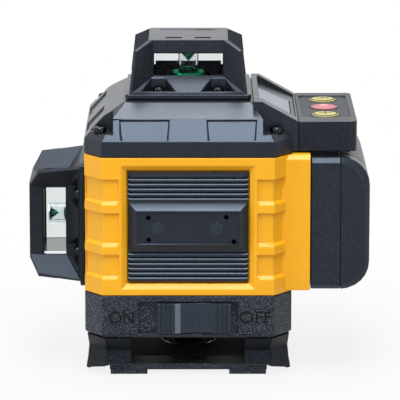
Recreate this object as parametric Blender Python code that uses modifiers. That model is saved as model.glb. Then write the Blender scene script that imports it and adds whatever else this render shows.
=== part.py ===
"""Self-levelling laser level: foot, base, shell, cover, prism heads, pendulum, switch, keypad and battery.

Metres, +Z up. X runs to the right, Y away from the front. Pieces are modelled about the plumb axis, and
one empty then moves the whole assembly so that its bounding box stands centred on the origin.
"""

import math

import bmesh
import bpy
from mathutils import Matrix, Vector

# Fits
GAP = 0.0003
ROUND = 32
SMALL_ROUND = 20

# Body outline
BODY_WIDTH = 0.0766
BODY_DEPTH = 0.086
CORNER_ACROSS = 0.0066
CORNER_ALONG = 0.0085

# Heights, from the floor upwards
FOOT_HEIGHT = 0.0018
PLATE_THICKNESS = 0.0023
LEG_HEIGHT = 0.0109
BASE_HEIGHT = 0.0162
SHELL_HEIGHT = 0.0519
BAND_HEIGHT = 0.0056
LOWER_SLOPE_RISE = 0.0077
UPPER_SLOPE_RISE = 0.0044

# Foot frame
PLATE_INSET_X = 0.0091
PLATE_INSET_Y = 0.0050
FOOT_SIDE = 0.014
FOOT_INSET = 0.0003
LEG_REACH_X = 0.0173
LEG_REACH_Y = 0.0170
LEG_INSET = 0.0008
LEG_WAIST_X = 0.0013
LEG_WAIST_Y = 0.0050
WING_INSET = 0.0003
WING_RIM = 0.0016
BOSS_RADIUS = 0.007
BOSS_RISE = 0.0044
INSERT_RADIUS = 0.005
INSERT_BORE = 0.0032
INSERT_DEPTH = 0.0055

# Lower window
RING_RADIUS = 0.0104
RING_WALL = 0.0010

# Base housing and transport lock
BASE_WALL = 0.0036
BASE_FRONT_WALL = 0.0056
BASE_FLOOR = 0.002
BASE_EDGE = 0.0012
SLOT_WIDTH = 0.0365
SLOT_HEIGHT = 0.0120
SLOT_DEPTH = 0.0022
SLOT_ABOVE_BASE = 0.0077
KNOB_WIDTH = 0.0273
KNOB_OFFSET = 0.0022
KNOB_PROUD = 0.0016
KNOB_END = 0.0066
KNOB_BEVEL = 0.0020
DISH_DEPTH = 0.0017
GROOVE_COUNT = 3
GROOVE_WIDTH = 0.0006
GROOVE_DEPTH = 0.0005
STEM_WIDTH = 0.0050
STEM_HEIGHT = 0.0024
KNOB_TRAVEL = 0.0064
YOKE_THICKNESS = 0.0013
YOKE_ARM = 0.0045

# Yellow shell
SHELL_WALL = 0.0022
SHELL_FRONT_WALL = 0.0056
RECESS_WIDTH = 0.0490
RECESS_HEIGHT = 0.0464
RECESS_LOW = 0.0023
RECESS_DEPTH = 0.0041
RECESS_DRAFT = 0.0020
POCKET_DEPTH = 0.0010
POCKET_REACH = 0.0062
POCKET_SLOPE = 0.0014
POCKET_HEIGHTS = (0.0093, 0.0125, 0.0095)
POCKET_LOW = 0.0059
POCKET_BAR = 0.0031
NECK_LENGTH = 0.0067
NECK_INSET = 0.0055
NECK_LIFT = 0.0007
NECK_BEVEL = 0.0016
SCREW_BOSS_RADIUS = 0.0034
SCREW_BOSS_HEIGHT = 0.012

# Front panel
PANEL_WIDTH = 0.0442
PANEL_HEIGHT = 0.0408
PANEL_THICKNESS = 0.0024
PANEL_EDGE = 0.0010
PANEL_CHAMFER = 0.0012
PANEL_MITRE = 0.0006
RIB_COUNT = 5
RIB_PITCH = 0.0018
RIB_GROOVE = 0.0010
RIB_SLOPE = 0.0007
FRAME_HEIGHT = 0.0188
FRAME_BEVEL = 0.0030
FRAME_RISE = 0.0020
LABEL_DEPTH = 0.0008
LABEL_MARGIN = 0.0006

# Top cover
SLOPE_INSET_X = 0.0072
SLOPE_INSET_Y = 0.0060
TOP_INSET_X = 0.0072
TOP_INSET_Y = 0.0094
SLOPE_CORNER = 0.0034
TOP_CORNER = 0.0009
COVER_WALL = 0.0024
SCREW_INSET_X = 0.0058
SCREW_INSET_Y = 0.0072
PIT_REACH_X = 0.0107
PIT_REACH_Y = 0.0122
PIT_FLOOR = 0.0024
SCREW_HEAD_RADIUS = 0.0026
SCREW_HEAD_HEIGHT = 0.0018
SCREW_SHANK_RADIUS = 0.0013
SCREW_LENGTH = 0.0130
INLAY_WIDTH = 0.0190
INLAY_OFFSET = 0.0160
INLAY_DEPTH = 0.0007
HUMP_REACH = 0.0113
HUMP_RISE = 0.0012
HUMP_INSET_FRONT = 0.0102
HUMP_INSET_BACK = 0.0138

# Display
LCD_LENGTH = 0.0328
LCD_CENTRE_Y = -0.0074
LCD_WIDTH = 0.0127
LCD_THICKNESS = 0.0010
LCD_RIM_FRONT = 0.0007
LCD_RIM_LEFT = 0.0010
LCD_RIM_RIGHT = 0.0018
LCD_OFFSET = 0.0015
LCD_SINK = 0.0017
BEZEL_BACK = 0.0235
BEZEL_DEPTH = 0.0007

# Control block
BLOCK_STANDOFF = 0.0026
BLOCK_LENGTH = 0.0213
BLOCK_HEIGHT = 0.0111
BLOCK_ROUND = 0.0028
BLOCK_WALL = 0.0020
PAD_LENGTH = 0.0468
PAD_WIDTH = 0.0180
PAD_SHIFT = 0.0016
PAD_DEPTH = 0.0005
PAD_ROUND = 0.0022
BUTTON_RADIUS = 0.0050
BUTTON_PITCH = 0.0158
BUTTON_FLANGE = 0.0008
BUTTON_PROUD = 0.0006
BUTTON_TRAVEL = 0.0008
BOARD_THICKNESS = 0.0016

# Prism heads
HEAD_FLANGE = 0.0466
HEAD_LIP = 0.0017
HEAD_FOOT = 0.0440
HEAD_SHOULDER = 0.0406
HEAD_SHOULDER_HEIGHT = 0.0176
HEAD_CAP = 0.0290
HEAD_HEIGHT = 0.0210
HEAD_CAVITY = 0.0272
HEAD_WINDOW = 0.0258
HEAD_FLOOR = 0.0054
WINDOW_LOW = 0.0074
WINDOW_HIGH = 0.0159
WINDOW_LEAF = 0.0010
BAY_SPREAD_RATIO = 1.1
HEAD_HOLE_RADIUS = 0.0092
PIT_OUTER = (0.0048, 0.0175)
PIT_INNER = (0.0086, 0.0136)
GLASS_WALL = 0.0011
CAP_RECESS = 0.0215
CAP_RECESS_DEPTH = 0.0004
CAP_SLOT_LENGTH = 0.0060
CAP_SLOT_WIDTH = 0.0011
CAP_SLOT_OFFSET = 0.0054
SIDE_HEAD_RISE = 0.0223

# Pendulum and gimbal
PIVOT_DROP = 0.0051
BARREL_RADIUS = 0.0060
BARREL_REACH = 0.0050
LENS_RADIUS = 0.0060
LENS_THICKNESS = 0.0012
TUBE_RADIUS = 0.0039
TUBE_WALL = 0.0008
TUBE_LENGTH = 0.0076
CONE_HEIGHT = 0.0038
LOWER_SCALE = 0.65
LOWER_BARREL_LENGTH = 0.0138
COLUMN_HALF = 0.0065
COLUMN_LOW = 0.030
COLUMN_ABOVE_PIVOT = 0.006
HUB_RADIUS = 0.0078
HUB_REACH = 0.012
WEIGHT_RADIUS = 0.011
WEIGHT_HEIGHT = 0.0095
TRIM_RADIUS = 0.0078
TRIM_RIGHT = 0.0216
TRIM_FRONT = 0.0235
GIMBAL_RADIUS = 0.0150
GIMBAL_WALL = 0.0032
GIMBAL_HEIGHT = 0.0060
PIN_RADIUS = 0.0014
BEARING_RADIUS = 0.0030
MAGNET_RADIUS = 0.0200
MAGNET_BORE = 0.0155
MAGNET_HEIGHT = 0.0040

# Chassis
CHASSIS_THICKNESS = 0.0026
BRIDGE_X = 0.0195
BRIDGE_THICKNESS = 0.0045
BRIDGE_HEIGHT = 0.0120
BRIDGE_HALF_Y = 0.0165
BRIDGE_LEG = 0.0045

# Boards and terminals
MAIN_BOARD_INSET = 0.0073
MAIN_BOARD_HALF_Y = 0.0300
MAIN_BOARD_HEIGHT = 0.0400
TERMINAL_HALF_Y = 0.0090
TERMINAL_HEIGHT = 0.0140
TERMINAL_DEPTH = 0.0024

# Battery pack
PACK_WIDTH = 0.0217
PACK_END_WALL = 0.0040
PACK_TOP_ROOM = 0.0016
PACK_SEAM = 0.0108
PACK_ROUND = 0.0104
PACK_BEVEL = 0.0018
CELL_RADIUS = 0.0090
CELL_LENGTH = 0.065
CELL_SPACING = 0.0240
RIB_GROOVES = 11
RIB_GROOVE_PITCH = 0.0052
RIB_GROOVE_WIDTH = 0.0012
RIB_GROOVE_DEPTH = 0.0006

# Levels and planes that follow from the sizes
HALF_X = BODY_WIDTH / 2
HALF_Y = BODY_DEPTH / 2
PLATE_HALF_X = HALF_X - PLATE_INSET_X
PLATE_HALF_Y = HALF_Y - PLATE_INSET_Y
LEG_INNER_X = HALF_X - LEG_REACH_X
LEG_INNER_Y = HALF_Y - LEG_REACH_Y
SCREW_X = HALF_X - SCREW_INSET_X
SCREW_Y = HALF_Y - SCREW_INSET_Y
PIT_X = HALF_X - PIT_REACH_X
PIT_Y = HALF_Y - PIT_REACH_Y
HUMP_START = HALF_X - HUMP_REACH
HUMP_FRONT = HALF_Y - HUMP_INSET_FRONT
HUMP_BACK = HALF_Y - HUMP_INSET_BACK
MAIN_BOARD_X = HALF_X - MAIN_BOARD_INSET
PLATE_TOP = FOOT_HEIGHT + PLATE_THICKNESS
BASE_LOW = PLATE_TOP + LEG_HEIGHT
SHELL_LOW = BASE_LOW + BASE_HEIGHT
COVER_LOW = SHELL_LOW + SHELL_HEIGHT
SIDE_HEAD_HEIGHT = SHELL_LOW + SIDE_HEAD_RISE
PIVOT_HEIGHT = COVER_LOW - PIVOT_DROP
SLOPE_LOW = COVER_LOW + BAND_HEIGHT
SLOPE_MID = SLOPE_LOW + LOWER_SLOPE_RISE
PLATEAU = SLOPE_MID + UPPER_SLOPE_RISE
NECK_RIGHT = HALF_X + NECK_LENGTH
BLOCK_LOW = COVER_LOW + GAP
BLOCK_TOP = BLOCK_LOW + BLOCK_HEIGHT
BLOCK_LEFT = HALF_X + BLOCK_STANDOFF
BLOCK_RIGHT = BLOCK_LEFT + BLOCK_LENGTH
PACK_LEFT = NECK_RIGHT + GAP
PACK_RIGHT = PACK_LEFT + PACK_WIDTH
PACK_LOW = SHELL_LOW + NECK_LIFT
PACK_HEIGHT = SHELL_HEIGHT - NECK_LIFT - PACK_TOP_ROOM
PACK_TOP = PACK_LOW + PACK_HEIGHT
PACK_HALF_Y = CELL_LENGTH / 2 + PACK_END_WALL
LEFT_END = HALF_X + GAP + HEAD_HEIGHT
REAR_END = HALF_Y + GAP + HEAD_HEIGHT
FRONT_END = HALF_Y + KNOB_PROUD
CUT = 0.02


def linear(hex_colour):
    """Linear RGBA of an sRGB hex colour."""
    channels = [int(hex_colour[i : i + 2], 16) / 255 for i in (0, 2, 4)]
    return [c / 12.92 if c <= 0.04045 else ((c + 0.055) / 1.055) ** 2.4 for c in channels] + [1.0]


def finish(name, hex_colour, roughness, metallic=0.0, alpha=1.0):
    material = bpy.data.materials.new(name)
    material.use_nodes = True
    shader = material.node_tree.nodes["Principled BSDF"]
    shader.inputs["Base Color"].default_value = linear(hex_colour)
    shader.inputs["Roughness"].default_value = roughness
    shader.inputs["Metallic"].default_value = metallic
    shader.inputs["Alpha"].default_value = alpha
    material.diffuse_color = linear(hex_colour)
    return material


def start_scene():
    """Clears the scene and makes the two collections and the assembly's empty."""
    for old in list(bpy.data.objects):
        bpy.data.objects.remove(old, do_unlink=True)
    parts = bpy.data.collections.new("laser_level")
    cutters = bpy.data.collections.new("cutters")
    for collection in (parts, cutters):
        bpy.context.scene.collection.children.link(collection)
    assembly = bpy.data.objects.new("assembly", None)
    parts.objects.link(assembly)
    assembly.location = (-(PACK_RIGHT - LEFT_END) / 2, -(REAR_END - FRONT_END) / 2, 0)
    return parts, cutters, assembly


PARTS, CUTTERS, ASSEMBLY = start_scene()
YELLOW = finish("yellow_shell", "F2A81D", 0.45)
BLACK = finish("black_plastic", "2A2C30", 0.55)
GREY_PLASTIC = finish("dark_grey_plastic", "3A3D42", 0.5)
CLEAR = finish("clear_glass", "E8F2F0", 0.05, alpha=0.3)
GREEN_GLASS = finish("green_lens", "3F9C78", 0.08)
MIRROR = finish("cone_mirror", "D8DADC", 0.08, 1.0)
BRASS = finish("brass", "B8924A", 0.35, 1.0)
STEEL = finish("steel", "9A9C9E", 0.3, 1.0)
ALUMINIUM = finish("aluminium", "B4B7BA", 0.4, 1.0)
BOARD_GREEN = finish("circuit_board", "1F5A3A", 0.5)
DISPLAY = finish("display_glass", "B9BCC4", 0.2)
KEY_YELLOW = finish("yellow_key", "D9C64A", 0.5)
KEY_RED = finish("red_key", "D9606A", 0.5)
CELL_WRAP = finish("cell_wrap", "3E6E9E", 0.45)


def chamfered(half_x, half_y, cut_x, cut_y, z, shift_y=0.0):
    """Eight corners of a rectangle with cut corners, at height z."""
    quarter = [(half_x, half_y - cut_y), (half_x - cut_x, half_y)]
    corners = []
    for sign_x, sign_y in ((1, 1), (-1, 1), (-1, -1), (1, -1)):
        pair = [(sign_x * x, sign_y * y + shift_y, z) for x, y in quarter]
        corners += pair if sign_x * sign_y > 0 else pair[::-1]
    return corners


def arc(centre, radius, start_deg, end_deg, steps):
    """Points of an arc in a plane, both ends included."""
    angles = [math.radians(start_deg + (end_deg - start_deg) * i / steps) for i in range(steps + 1)]
    return [(centre[0] + radius * math.cos(a), centre[1] + radius * math.sin(a)) for a in angles]


def box(low, high):
    size = Vector(high) - Vector(low)
    middle = (Vector(high) + Vector(low)) / 2
    bm = bmesh.new()
    bmesh.ops.create_cube(bm, size=1.0, matrix=Matrix.Translation(middle) @ Matrix.Diagonal((*size, 1)))
    return bm


def rod(radius, start, end, segments=ROUND):
    """A cylinder from one point to another."""
    start, end = Vector(start), Vector(end)
    along = end - start
    place = Matrix.Translation((start + end) / 2) @ along.to_track_quat("Z", "Y").to_matrix().to_4x4()
    bm = bmesh.new()
    bmesh.ops.create_cone(
        bm, cap_ends=True, segments=segments, radius1=radius, radius2=radius, depth=along.length, matrix=place
    )
    return bm


def loft(*sections):
    """A closed solid through loops with the same number of points, in order along it."""
    bm = bmesh.new()
    loops = [[bm.verts.new(point) for point in section] for section in sections]
    for near, far in zip(loops, loops[1:]):
        for i, corner in enumerate(near):
            j = (i + 1) % len(near)
            bm.faces.new((corner, near[j], far[j], far[i]))
    bm.faces.new(loops[0])
    bm.faces.new(loops[-1])
    bmesh.ops.recalc_face_normals(bm, faces=bm.faces[:])
    return bm


def prism(axis, outline, low, high):
    """A flat outline drawn out along X, Y or Z. The outline holds the other two coordinates in order."""
    place = {
        "X": lambda p, at: (at, p[0], p[1]),
        "Y": lambda p, at: (p[0], at, p[1]),
        "Z": lambda p, at: (p[0], p[1], at),
    }[axis]
    return loft([place(p, low) for p in outline], [place(p, high) for p in outline])


def pivot(name, place, parent=None, turn=(0, 0, 0)):
    """An empty at a joint axis or a mounting point, placed in the assembly's frame."""
    empty = bpy.data.objects.new(name, None)
    PARTS.objects.link(empty)
    empty.parent = parent or ASSEMBLY
    empty.location = Vector(place) - (parent.location if parent else Vector())
    empty.rotation_euler = turn
    return empty


def piece(name, bm, material, carrier=None, local=False):
    """One named solid. Its points are in the assembly's frame or, if local, in its carrier's."""
    mesh = bpy.data.meshes.new(name)
    bm.to_mesh(mesh)
    bm.free()
    return place_mesh(name, mesh, material, carrier, local)


def place_mesh(name, mesh, material, carrier=None, local=False):
    obj = bpy.data.objects.new(name, mesh)
    PARTS.objects.link(obj)
    if not mesh.materials:
        mesh.materials.append(material)
    obj.parent = carrier or ASSEMBLY
    if carrier and not local:
        obj.location = -carrier.location
    return obj


def turned(name, profile, material, carrier, closed=False, segments=ROUND):
    """A turned solid about its carrier's Z axis. The profile (radius, height) runs down the outer side."""
    mesh = bpy.data.meshes.new(name)
    count = len(profile)
    edges = [(i, i + 1) for i in range(count - 1)] + ([(count - 1, 0)] if closed else [])
    mesh.from_pydata([(radius, 0, height) for radius, height in profile], edges, [])
    obj = place_mesh(name, mesh, material, carrier, local=True)
    screw = obj.modifiers.new("turn", "SCREW")
    screw.steps = screw.render_steps = segments
    screw.use_merge_vertices = True
    screw.merge_threshold = 0.00001
    return obj


def tool(bm, carrier=None):
    """A hidden helper for a Boolean."""
    mesh = bpy.data.meshes.new("cutter")
    bm.to_mesh(mesh)
    bm.free()
    obj = bpy.data.objects.new("cutter", mesh)
    CUTTERS.objects.link(obj)
    obj.parent = carrier or ASSEMBLY
    obj.hide_render = True
    obj.display_type = "WIRE"
    return obj


def combine(obj, operation, bm):
    modifier = obj.modifiers.new(operation.lower(), "BOOLEAN")
    modifier.operation = operation
    modifier.solver = "EXACT"
    modifier.object = tool(bm)


def cut(obj, *shapes):
    for bm in shapes:
        combine(obj, "DIFFERENCE", bm)


def join(obj, *shapes):
    for bm in shapes:
        combine(obj, "UNION", bm)


SIDES = (-1, 1)
CORNERS = [(x, y) for x in SIDES for y in SIDES]


def span(a, b):
    """Two values in rising order."""
    return (a, b) if a < b else (b, a)


def corner_box(sign_x, sign_y, near, far, z_low, z_high):
    """A box in one quarter of the plan, between two corners given for the first quarter."""
    x_low, x_high = span(sign_x * near[0], sign_x * far[0])
    y_low, y_high = span(sign_y * near[1], sign_y * far[1])
    return box((x_low, y_low, z_low), (x_high, y_high, z_high))


def foot_frame():
    """Plate on four pads, with four waisted corner legs whose outer edges flare down into wings."""
    def ring(inset_x, inset_y, z):
        return chamfered(HALF_X - inset_x, HALF_Y - inset_y, CORNER_ACROSS, CORNER_ALONG, z)

    leg_top = BASE_LOW - GAP
    obj = piece(
        "foot_frame",
        loft(
            ring(WING_INSET, LEG_INSET, FOOT_HEIGHT),
            ring((WING_INSET + LEG_WAIST_X) / 2, (LEG_INSET + LEG_WAIST_Y) / 2, PLATE_TOP),
            ring(LEG_WAIST_X, LEG_WAIST_Y, (PLATE_TOP + leg_top) / 2),
            ring(LEG_INSET, LEG_INSET, leg_top),
        ),
        BLACK,
    )
    cut(
        obj,
        box((-LEG_INNER_X, -HALF_Y - CUT, PLATE_TOP), (LEG_INNER_X, HALF_Y + CUT, BASE_LOW + CUT)),
        box((-HALF_X - CUT, -LEG_INNER_Y, PLATE_TOP), (HALF_X + CUT, LEG_INNER_Y, BASE_LOW + CUT)),
    )
    wing_edge = HALF_X - WING_INSET - WING_RIM
    for side in SIDES:
        x_low, x_high = span(side * PLATE_HALF_X, side * (HALF_X + CUT))
        cut(obj, box((x_low, -LEG_INNER_Y, -CUT), (x_high, LEG_INNER_Y, BASE_LOW)))
        under = [
            (side * PLATE_HALF_X, -CUT),
            (side * PLATE_HALF_X, PLATE_TOP),
            (side * wing_edge, FOOT_HEIGHT + GAP),
            (side * wing_edge, -CUT),
        ]
        cut(obj, prism("Y", under, -HALF_Y - CUT, HALF_Y + CUT))
        y_low, y_high = span(side * PLATE_HALF_Y, side * (HALF_Y + CUT))
        cut(obj, box((-PLATE_HALF_X, y_low, -CUT), (PLATE_HALF_X, y_high, PLATE_TOP)))
    for sign_x, sign_y in CORNERS:
        near = (PLATE_HALF_X - FOOT_SIDE, PLATE_HALF_Y - FOOT_SIDE)
        far = (PLATE_HALF_X - FOOT_INSET, PLATE_HALF_Y - FOOT_INSET)
        join(obj, corner_box(sign_x, sign_y, near, far, 0, FOOT_HEIGHT + PLATE_THICKNESS / 2))
    join(obj, rod(BOSS_RADIUS, (0, 0, FOOT_HEIGHT + PLATE_THICKNESS / 2), (0, 0, PLATE_TOP + BOSS_RISE)))
    cut(obj, rod(INSERT_RADIUS + GAP, (0, 0, -CUT), (0, 0, FOOT_HEIGHT + INSERT_DEPTH + GAP)))


def tripod_insert(axis):
    low, high = FOOT_HEIGHT, FOOT_HEIGHT + INSERT_DEPTH
    profile = [(INSERT_RADIUS, high), (INSERT_RADIUS, low), (INSERT_BORE, low), (INSERT_BORE, high)]
    turned("tripod_insert", profile, BRASS, axis, closed=True)


def lower_window(axis):
    low, high = PLATE_TOP + GAP, BASE_LOW - GAP
    inner = RING_RADIUS - RING_WALL
    profile = [(RING_RADIUS, high), (RING_RADIUS, low), (inner, low), (inner, high)]
    turned("lower_window", profile, CLEAR, axis, closed=True)


SLOT_MIDDLE = BASE_LOW + SLOT_ABOVE_BASE
KNOB_BACK = -(HALF_Y - SLOT_DEPTH + GAP)
YOKE_LOW = BASE_LOW + BASE_FLOOR + GAP


def base_housing():
    """Open-topped base with the switch recess, the stem slot behind it and the lower beam's hole."""
    def ring(inset, z):
        return chamfered(HALF_X - inset, HALF_Y - inset, CORNER_ACROSS, CORNER_ALONG, z)

    high = SHELL_LOW - GAP
    obj = piece(
        "base_housing", loft(ring(BASE_EDGE, BASE_LOW), ring(0, BASE_LOW + BASE_EDGE), ring(0, high)), BLACK
    )
    half_y = HALF_Y - (BASE_WALL + BASE_FRONT_WALL) / 2
    shift = (BASE_FRONT_WALL - BASE_WALL) / 2
    hollow = [
        chamfered(HALF_X - BASE_WALL, half_y, CORNER_ACROSS, CORNER_ALONG, z, shift)
        for z in (BASE_LOW + BASE_FLOOR, high + CUT)
    ]
    stem_low = KNOB_OFFSET - STEM_WIDTH / 2 - KNOB_TRAVEL - 2 * GAP
    stem_high = KNOB_OFFSET + STEM_WIDTH / 2 + 2 * GAP
    stem_z = STEM_HEIGHT / 2 + GAP
    stem_middle = YOKE_LOW + STEM_HEIGHT / 2
    slot_low, slot_high = SLOT_MIDDLE - SLOT_HEIGHT / 2, SLOT_MIDDLE + SLOT_HEIGHT / 2
    cut(
        obj,
        loft(*hollow),
        box((-SLOT_WIDTH / 2, -HALF_Y - CUT, slot_low), (SLOT_WIDTH / 2, -HALF_Y + SLOT_DEPTH, slot_high)),
        box(
            (stem_low, -HALF_Y - CUT / 2, stem_middle - stem_z),
            (stem_high, -HALF_Y + BASE_FRONT_WALL + CUT / 4, stem_middle + stem_z),
        ),
        rod(RING_RADIUS - RING_WALL, (0, 0, BASE_LOW - CUT), (0, 0, BASE_LOW + BASE_FLOOR + CUT / 4)),
    )


def knob_outline():
    """Plan of the switch knob: grooved ends, a bevel down to a finger dish between them."""
    left, right = KNOB_OFFSET - KNOB_WIDTH / 2, KNOB_OFFSET + KNOB_WIDTH / 2
    front = -HALF_Y - KNOB_PROUD

    def grooved(start, width):
        step = width / (GROOVE_COUNT + 1)
        points = []
        for i in range(GROOVE_COUNT):
            middle = start + step * (i + 1)
            for x, y in ((-1, 0), (-1, 1), (1, 1), (1, 0)):
                points.append((middle + x * GROOVE_WIDTH / 2, front + y * GROOVE_DEPTH))
        return points

    dish_left, dish_right = left + KNOB_END + KNOB_BEVEL, right - KNOB_END
    steps = 8
    dish = []
    for i in range(steps + 1):
        share = i / steps
        sink = DISH_DEPTH * (0.45 + 0.55 * math.sin(math.pi * share))
        dish.append((dish_left + (dish_right - dish_left) * share, front + sink))
    return (
        [(left, KNOB_BACK), (left, front)]
        + grooved(left, KNOB_END)
        + [(left + KNOB_END, front)]
        + dish
        + [(right - KNOB_END + GAP, front)]
        + grooved(right - KNOB_END, KNOB_END)
        + [(right, front), (right, KNOB_BACK)]
    )


def transport_lock():
    """Switch knob with its stem, and the yoke round the pendulum that the stem moves."""
    rest = pivot("switch_rest", (KNOB_OFFSET, -HALF_Y, SLOT_MIDDLE))
    half_z = SLOT_HEIGHT / 2 - GAP
    knob = piece("switch_knob", prism("Z", knob_outline(), SLOT_MIDDLE - half_z, SLOT_MIDDLE + half_z), BLACK, rest)
    stem_end = -HALF_Y + BASE_FRONT_WALL + 2 * GAP
    stem_x = (KNOB_OFFSET - STEM_WIDTH / 2, KNOB_OFFSET + STEM_WIDTH / 2)
    join(
        knob,
        box((stem_x[0], KNOB_BACK - 2 * GAP, YOKE_LOW), (stem_x[1], stem_end, YOKE_LOW + STEM_HEIGHT)),
    )
    swing = math.sin(math.radians(3)) * (PIVOT_HEIGHT - YOKE_LOW)
    clear = BARREL_RADIUS * LOWER_SCALE + swing + 3 * GAP
    left, right = -clear - YOKE_ARM, clear + KNOB_TRAVEL + YOKE_ARM
    front, back = stem_end + GAP, clear
    outline = [
        (left, front),
        (right, front),
        (right, back),
        (right - YOKE_ARM, back),
        (right - YOKE_ARM, -clear),
        (left + YOKE_ARM, -clear),
        (left + YOKE_ARM, back),
        (left, back),
    ]
    piece("lock_yoke", prism("Z", outline, YOKE_LOW, YOKE_LOW + YOKE_THICKNESS), GREY_PLASTIC, rest)


def corner_pocket(sign_x, sign_y, low, high):
    """A shallow pocket that wraps one cut corner of the shell."""
    d = POCKET_DEPTH
    flat_x, flat_y = HALF_X - CORNER_ACROSS, HALF_Y - CORNER_ALONG
    inner = [
        (flat_x - POCKET_REACH, HALF_Y - d),
        (flat_x - d / 2, HALF_Y - d),
        (HALF_X - d, flat_y - d / 2),
        (HALF_X - d, flat_y - POCKET_REACH),
    ]
    far = CUT + HALF_Y
    outline = inner + [(far, flat_y - POCKET_REACH), (far, far), (flat_x - POCKET_REACH, far)]

    def level(z, grow):
        points = []
        for x, y in outline:
            points.append((sign_x * (x + grow), sign_y * (y + grow), z))
        return points

    return loft(level(low, POCKET_DEPTH), level(low + POCKET_SLOPE, 0), level(high, 0))


PANEL_CENTRE = SHELL_LOW + RECESS_LOW + RECESS_HEIGHT / 2
PANEL_FLOOR = -HALF_Y + RECESS_DEPTH
PANEL_FACE = PANEL_FLOOR - GAP - PANEL_THICKNESS


def body_shell():
    """Yellow tube with grip pockets at its corners, the panel recess, head holes and the battery neck."""
    high = COVER_LOW - GAP
    obj = piece(
        "body_shell",
        loft(*[chamfered(HALF_X, HALF_Y, CORNER_ACROSS, CORNER_ALONG, z) for z in (SHELL_LOW, high)]),
        YELLOW,
    )
    for sign_x, sign_y in CORNERS:
        low = SHELL_LOW + POCKET_LOW
        for height in POCKET_HEIGHTS:
            cut(obj, corner_pocket(sign_x, sign_y, low, low + height))
            low += height + POCKET_BAR
    neck_y = HALF_Y - NECK_INSET
    neck_low = SHELL_LOW + NECK_LIFT
    neck = [
        (-neck_y, neck_low),
        (neck_y, neck_low),
        (neck_y, high - NECK_BEVEL),
        (neck_y - NECK_BEVEL, high),
        (-neck_y + NECK_BEVEL, high),
        (-neck_y, high - NECK_BEVEL),
    ]
    join(obj, prism("X", neck, HALF_X - CORNER_ACROSS, NECK_RIGHT))
    half_y = HALF_Y - (SHELL_WALL + SHELL_FRONT_WALL) / 2
    shift = (SHELL_FRONT_WALL - SHELL_WALL) / 2
    hollow = [
        chamfered(HALF_X - SHELL_WALL, half_y, CORNER_ACROSS, CORNER_ALONG, z, shift)
        for z in (SHELL_LOW - CUT, high + CUT)
    ]
    cut(obj, loft(*hollow))
    for sign_x, sign_y in CORNERS:
        centre = (sign_x * SCREW_X, sign_y * SCREW_Y)
        bottom = high - SCREW_BOSS_HEIGHT
        join(obj, rod(SCREW_BOSS_RADIUS, (*centre, bottom), (*centre, high), SMALL_ROUND))
        hole = SCREW_SHANK_RADIUS + GAP
        cut(obj, rod(hole, (*centre, bottom + SHELL_WALL), (*centre, high + CUT), SMALL_ROUND))
    half = HEAD_CAVITY / 2
    head_z = (SIDE_HEAD_HEIGHT - half, SIDE_HEAD_HEIGHT + half)
    cut(
        obj,
        box((-HALF_X - CUT, -half, head_z[0]), (-HALF_X + 2 * SHELL_WALL, half, head_z[1])),
        box((-half, HALF_Y - 2 * SHELL_WALL, head_z[0]), (half, HALF_Y + CUT, head_z[1])),
        panel_recess(),
        terminal_recess(GAP),
    )


def panel_recess():
    """Drafted recess for the front panel."""
    def frame(grow, y):
        x, z = RECESS_WIDTH / 2 - RECESS_DRAFT + grow, RECESS_HEIGHT / 2 - RECESS_DRAFT + grow
        return [(sx * x, y, PANEL_CENTRE + sz * z) for sx, sz in ((-1, -1), (1, -1), (1, 1), (-1, 1))]

    return loft(frame(0, PANEL_FLOOR), frame(RECESS_DRAFT, -HALF_Y), frame(RECESS_DRAFT, -HALF_Y - CUT))


TERMINAL_LOW = PACK_LOW + (PACK_HEIGHT - TERMINAL_HEIGHT) / 2


def terminal_recess(grow):
    """Room in the neck's face for the terminal block, or the block itself where grow is 0."""
    return box(
        (NECK_RIGHT - TERMINAL_DEPTH - grow, -TERMINAL_HALF_Y - grow, TERMINAL_LOW - grow),
        (NECK_RIGHT + CUT * (grow > 0), TERMINAL_HALF_Y + grow, TERMINAL_LOW + TERMINAL_HEIGHT + grow),
    )


def front_panel():
    """Ribbed panel with a mitred frame round a bare label recess."""
    low, high = PANEL_CENTRE - PANEL_HEIGHT / 2, PANEL_CENTRE + PANEL_HEIGHT / 2
    back = PANEL_FLOOR - GAP
    face, groove = PANEL_FACE, PANEL_FACE + RIB_GROOVE
    outline = [(back, high), (back, low), (face, low)]
    lower, upper = low + PANEL_EDGE, high - PANEL_EDGE - RIB_COUNT * RIB_PITCH
    for start, count in ((lower, RIB_COUNT + 1), (upper, RIB_COUNT)):
        for i in range(count):
            z = start + i * RIB_PITCH
            outline += [(face, z), (groove, z + RIB_SLOPE), (groove, z + RIB_GROOVE), (face, z + RIB_GROOVE)]
    outline += [(face, high - PANEL_CHAMFER), (face + PANEL_CHAMFER, high)]
    obj = piece("front_panel", prism("X", outline, -PANEL_WIDTH / 2, PANEL_WIDTH / 2), BLACK)
    for side in SIDES:
        edge = side * PANEL_WIDTH / 2
        mitre = [
            (edge - side * (PANEL_MITRE + GAP), face - GAP),
            (edge + side * GAP, face - GAP),
            (edge + side * GAP, face + PANEL_MITRE + GAP),
        ]
        cut(obj, prism("Z", mitre, low - CUT, high + CUT))

    def frame(inset, y):
        x, z = PANEL_WIDTH / 2 - inset, FRAME_HEIGHT / 2 - inset
        return [(sx * x, y, PANEL_CENTRE + sz * z) for sx, sz in ((-1, -1), (1, -1), (1, 1), (-1, 1))]

    crest = PANEL_FACE - FRAME_RISE
    join(obj, loft(frame(GAP, PANEL_FACE + GAP), frame(FRAME_BEVEL, crest)))
    label = FRAME_BEVEL + LABEL_MARGIN
    cut(obj, loft(frame(label, crest + LABEL_DEPTH), frame(label, crest - CUT)))


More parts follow.
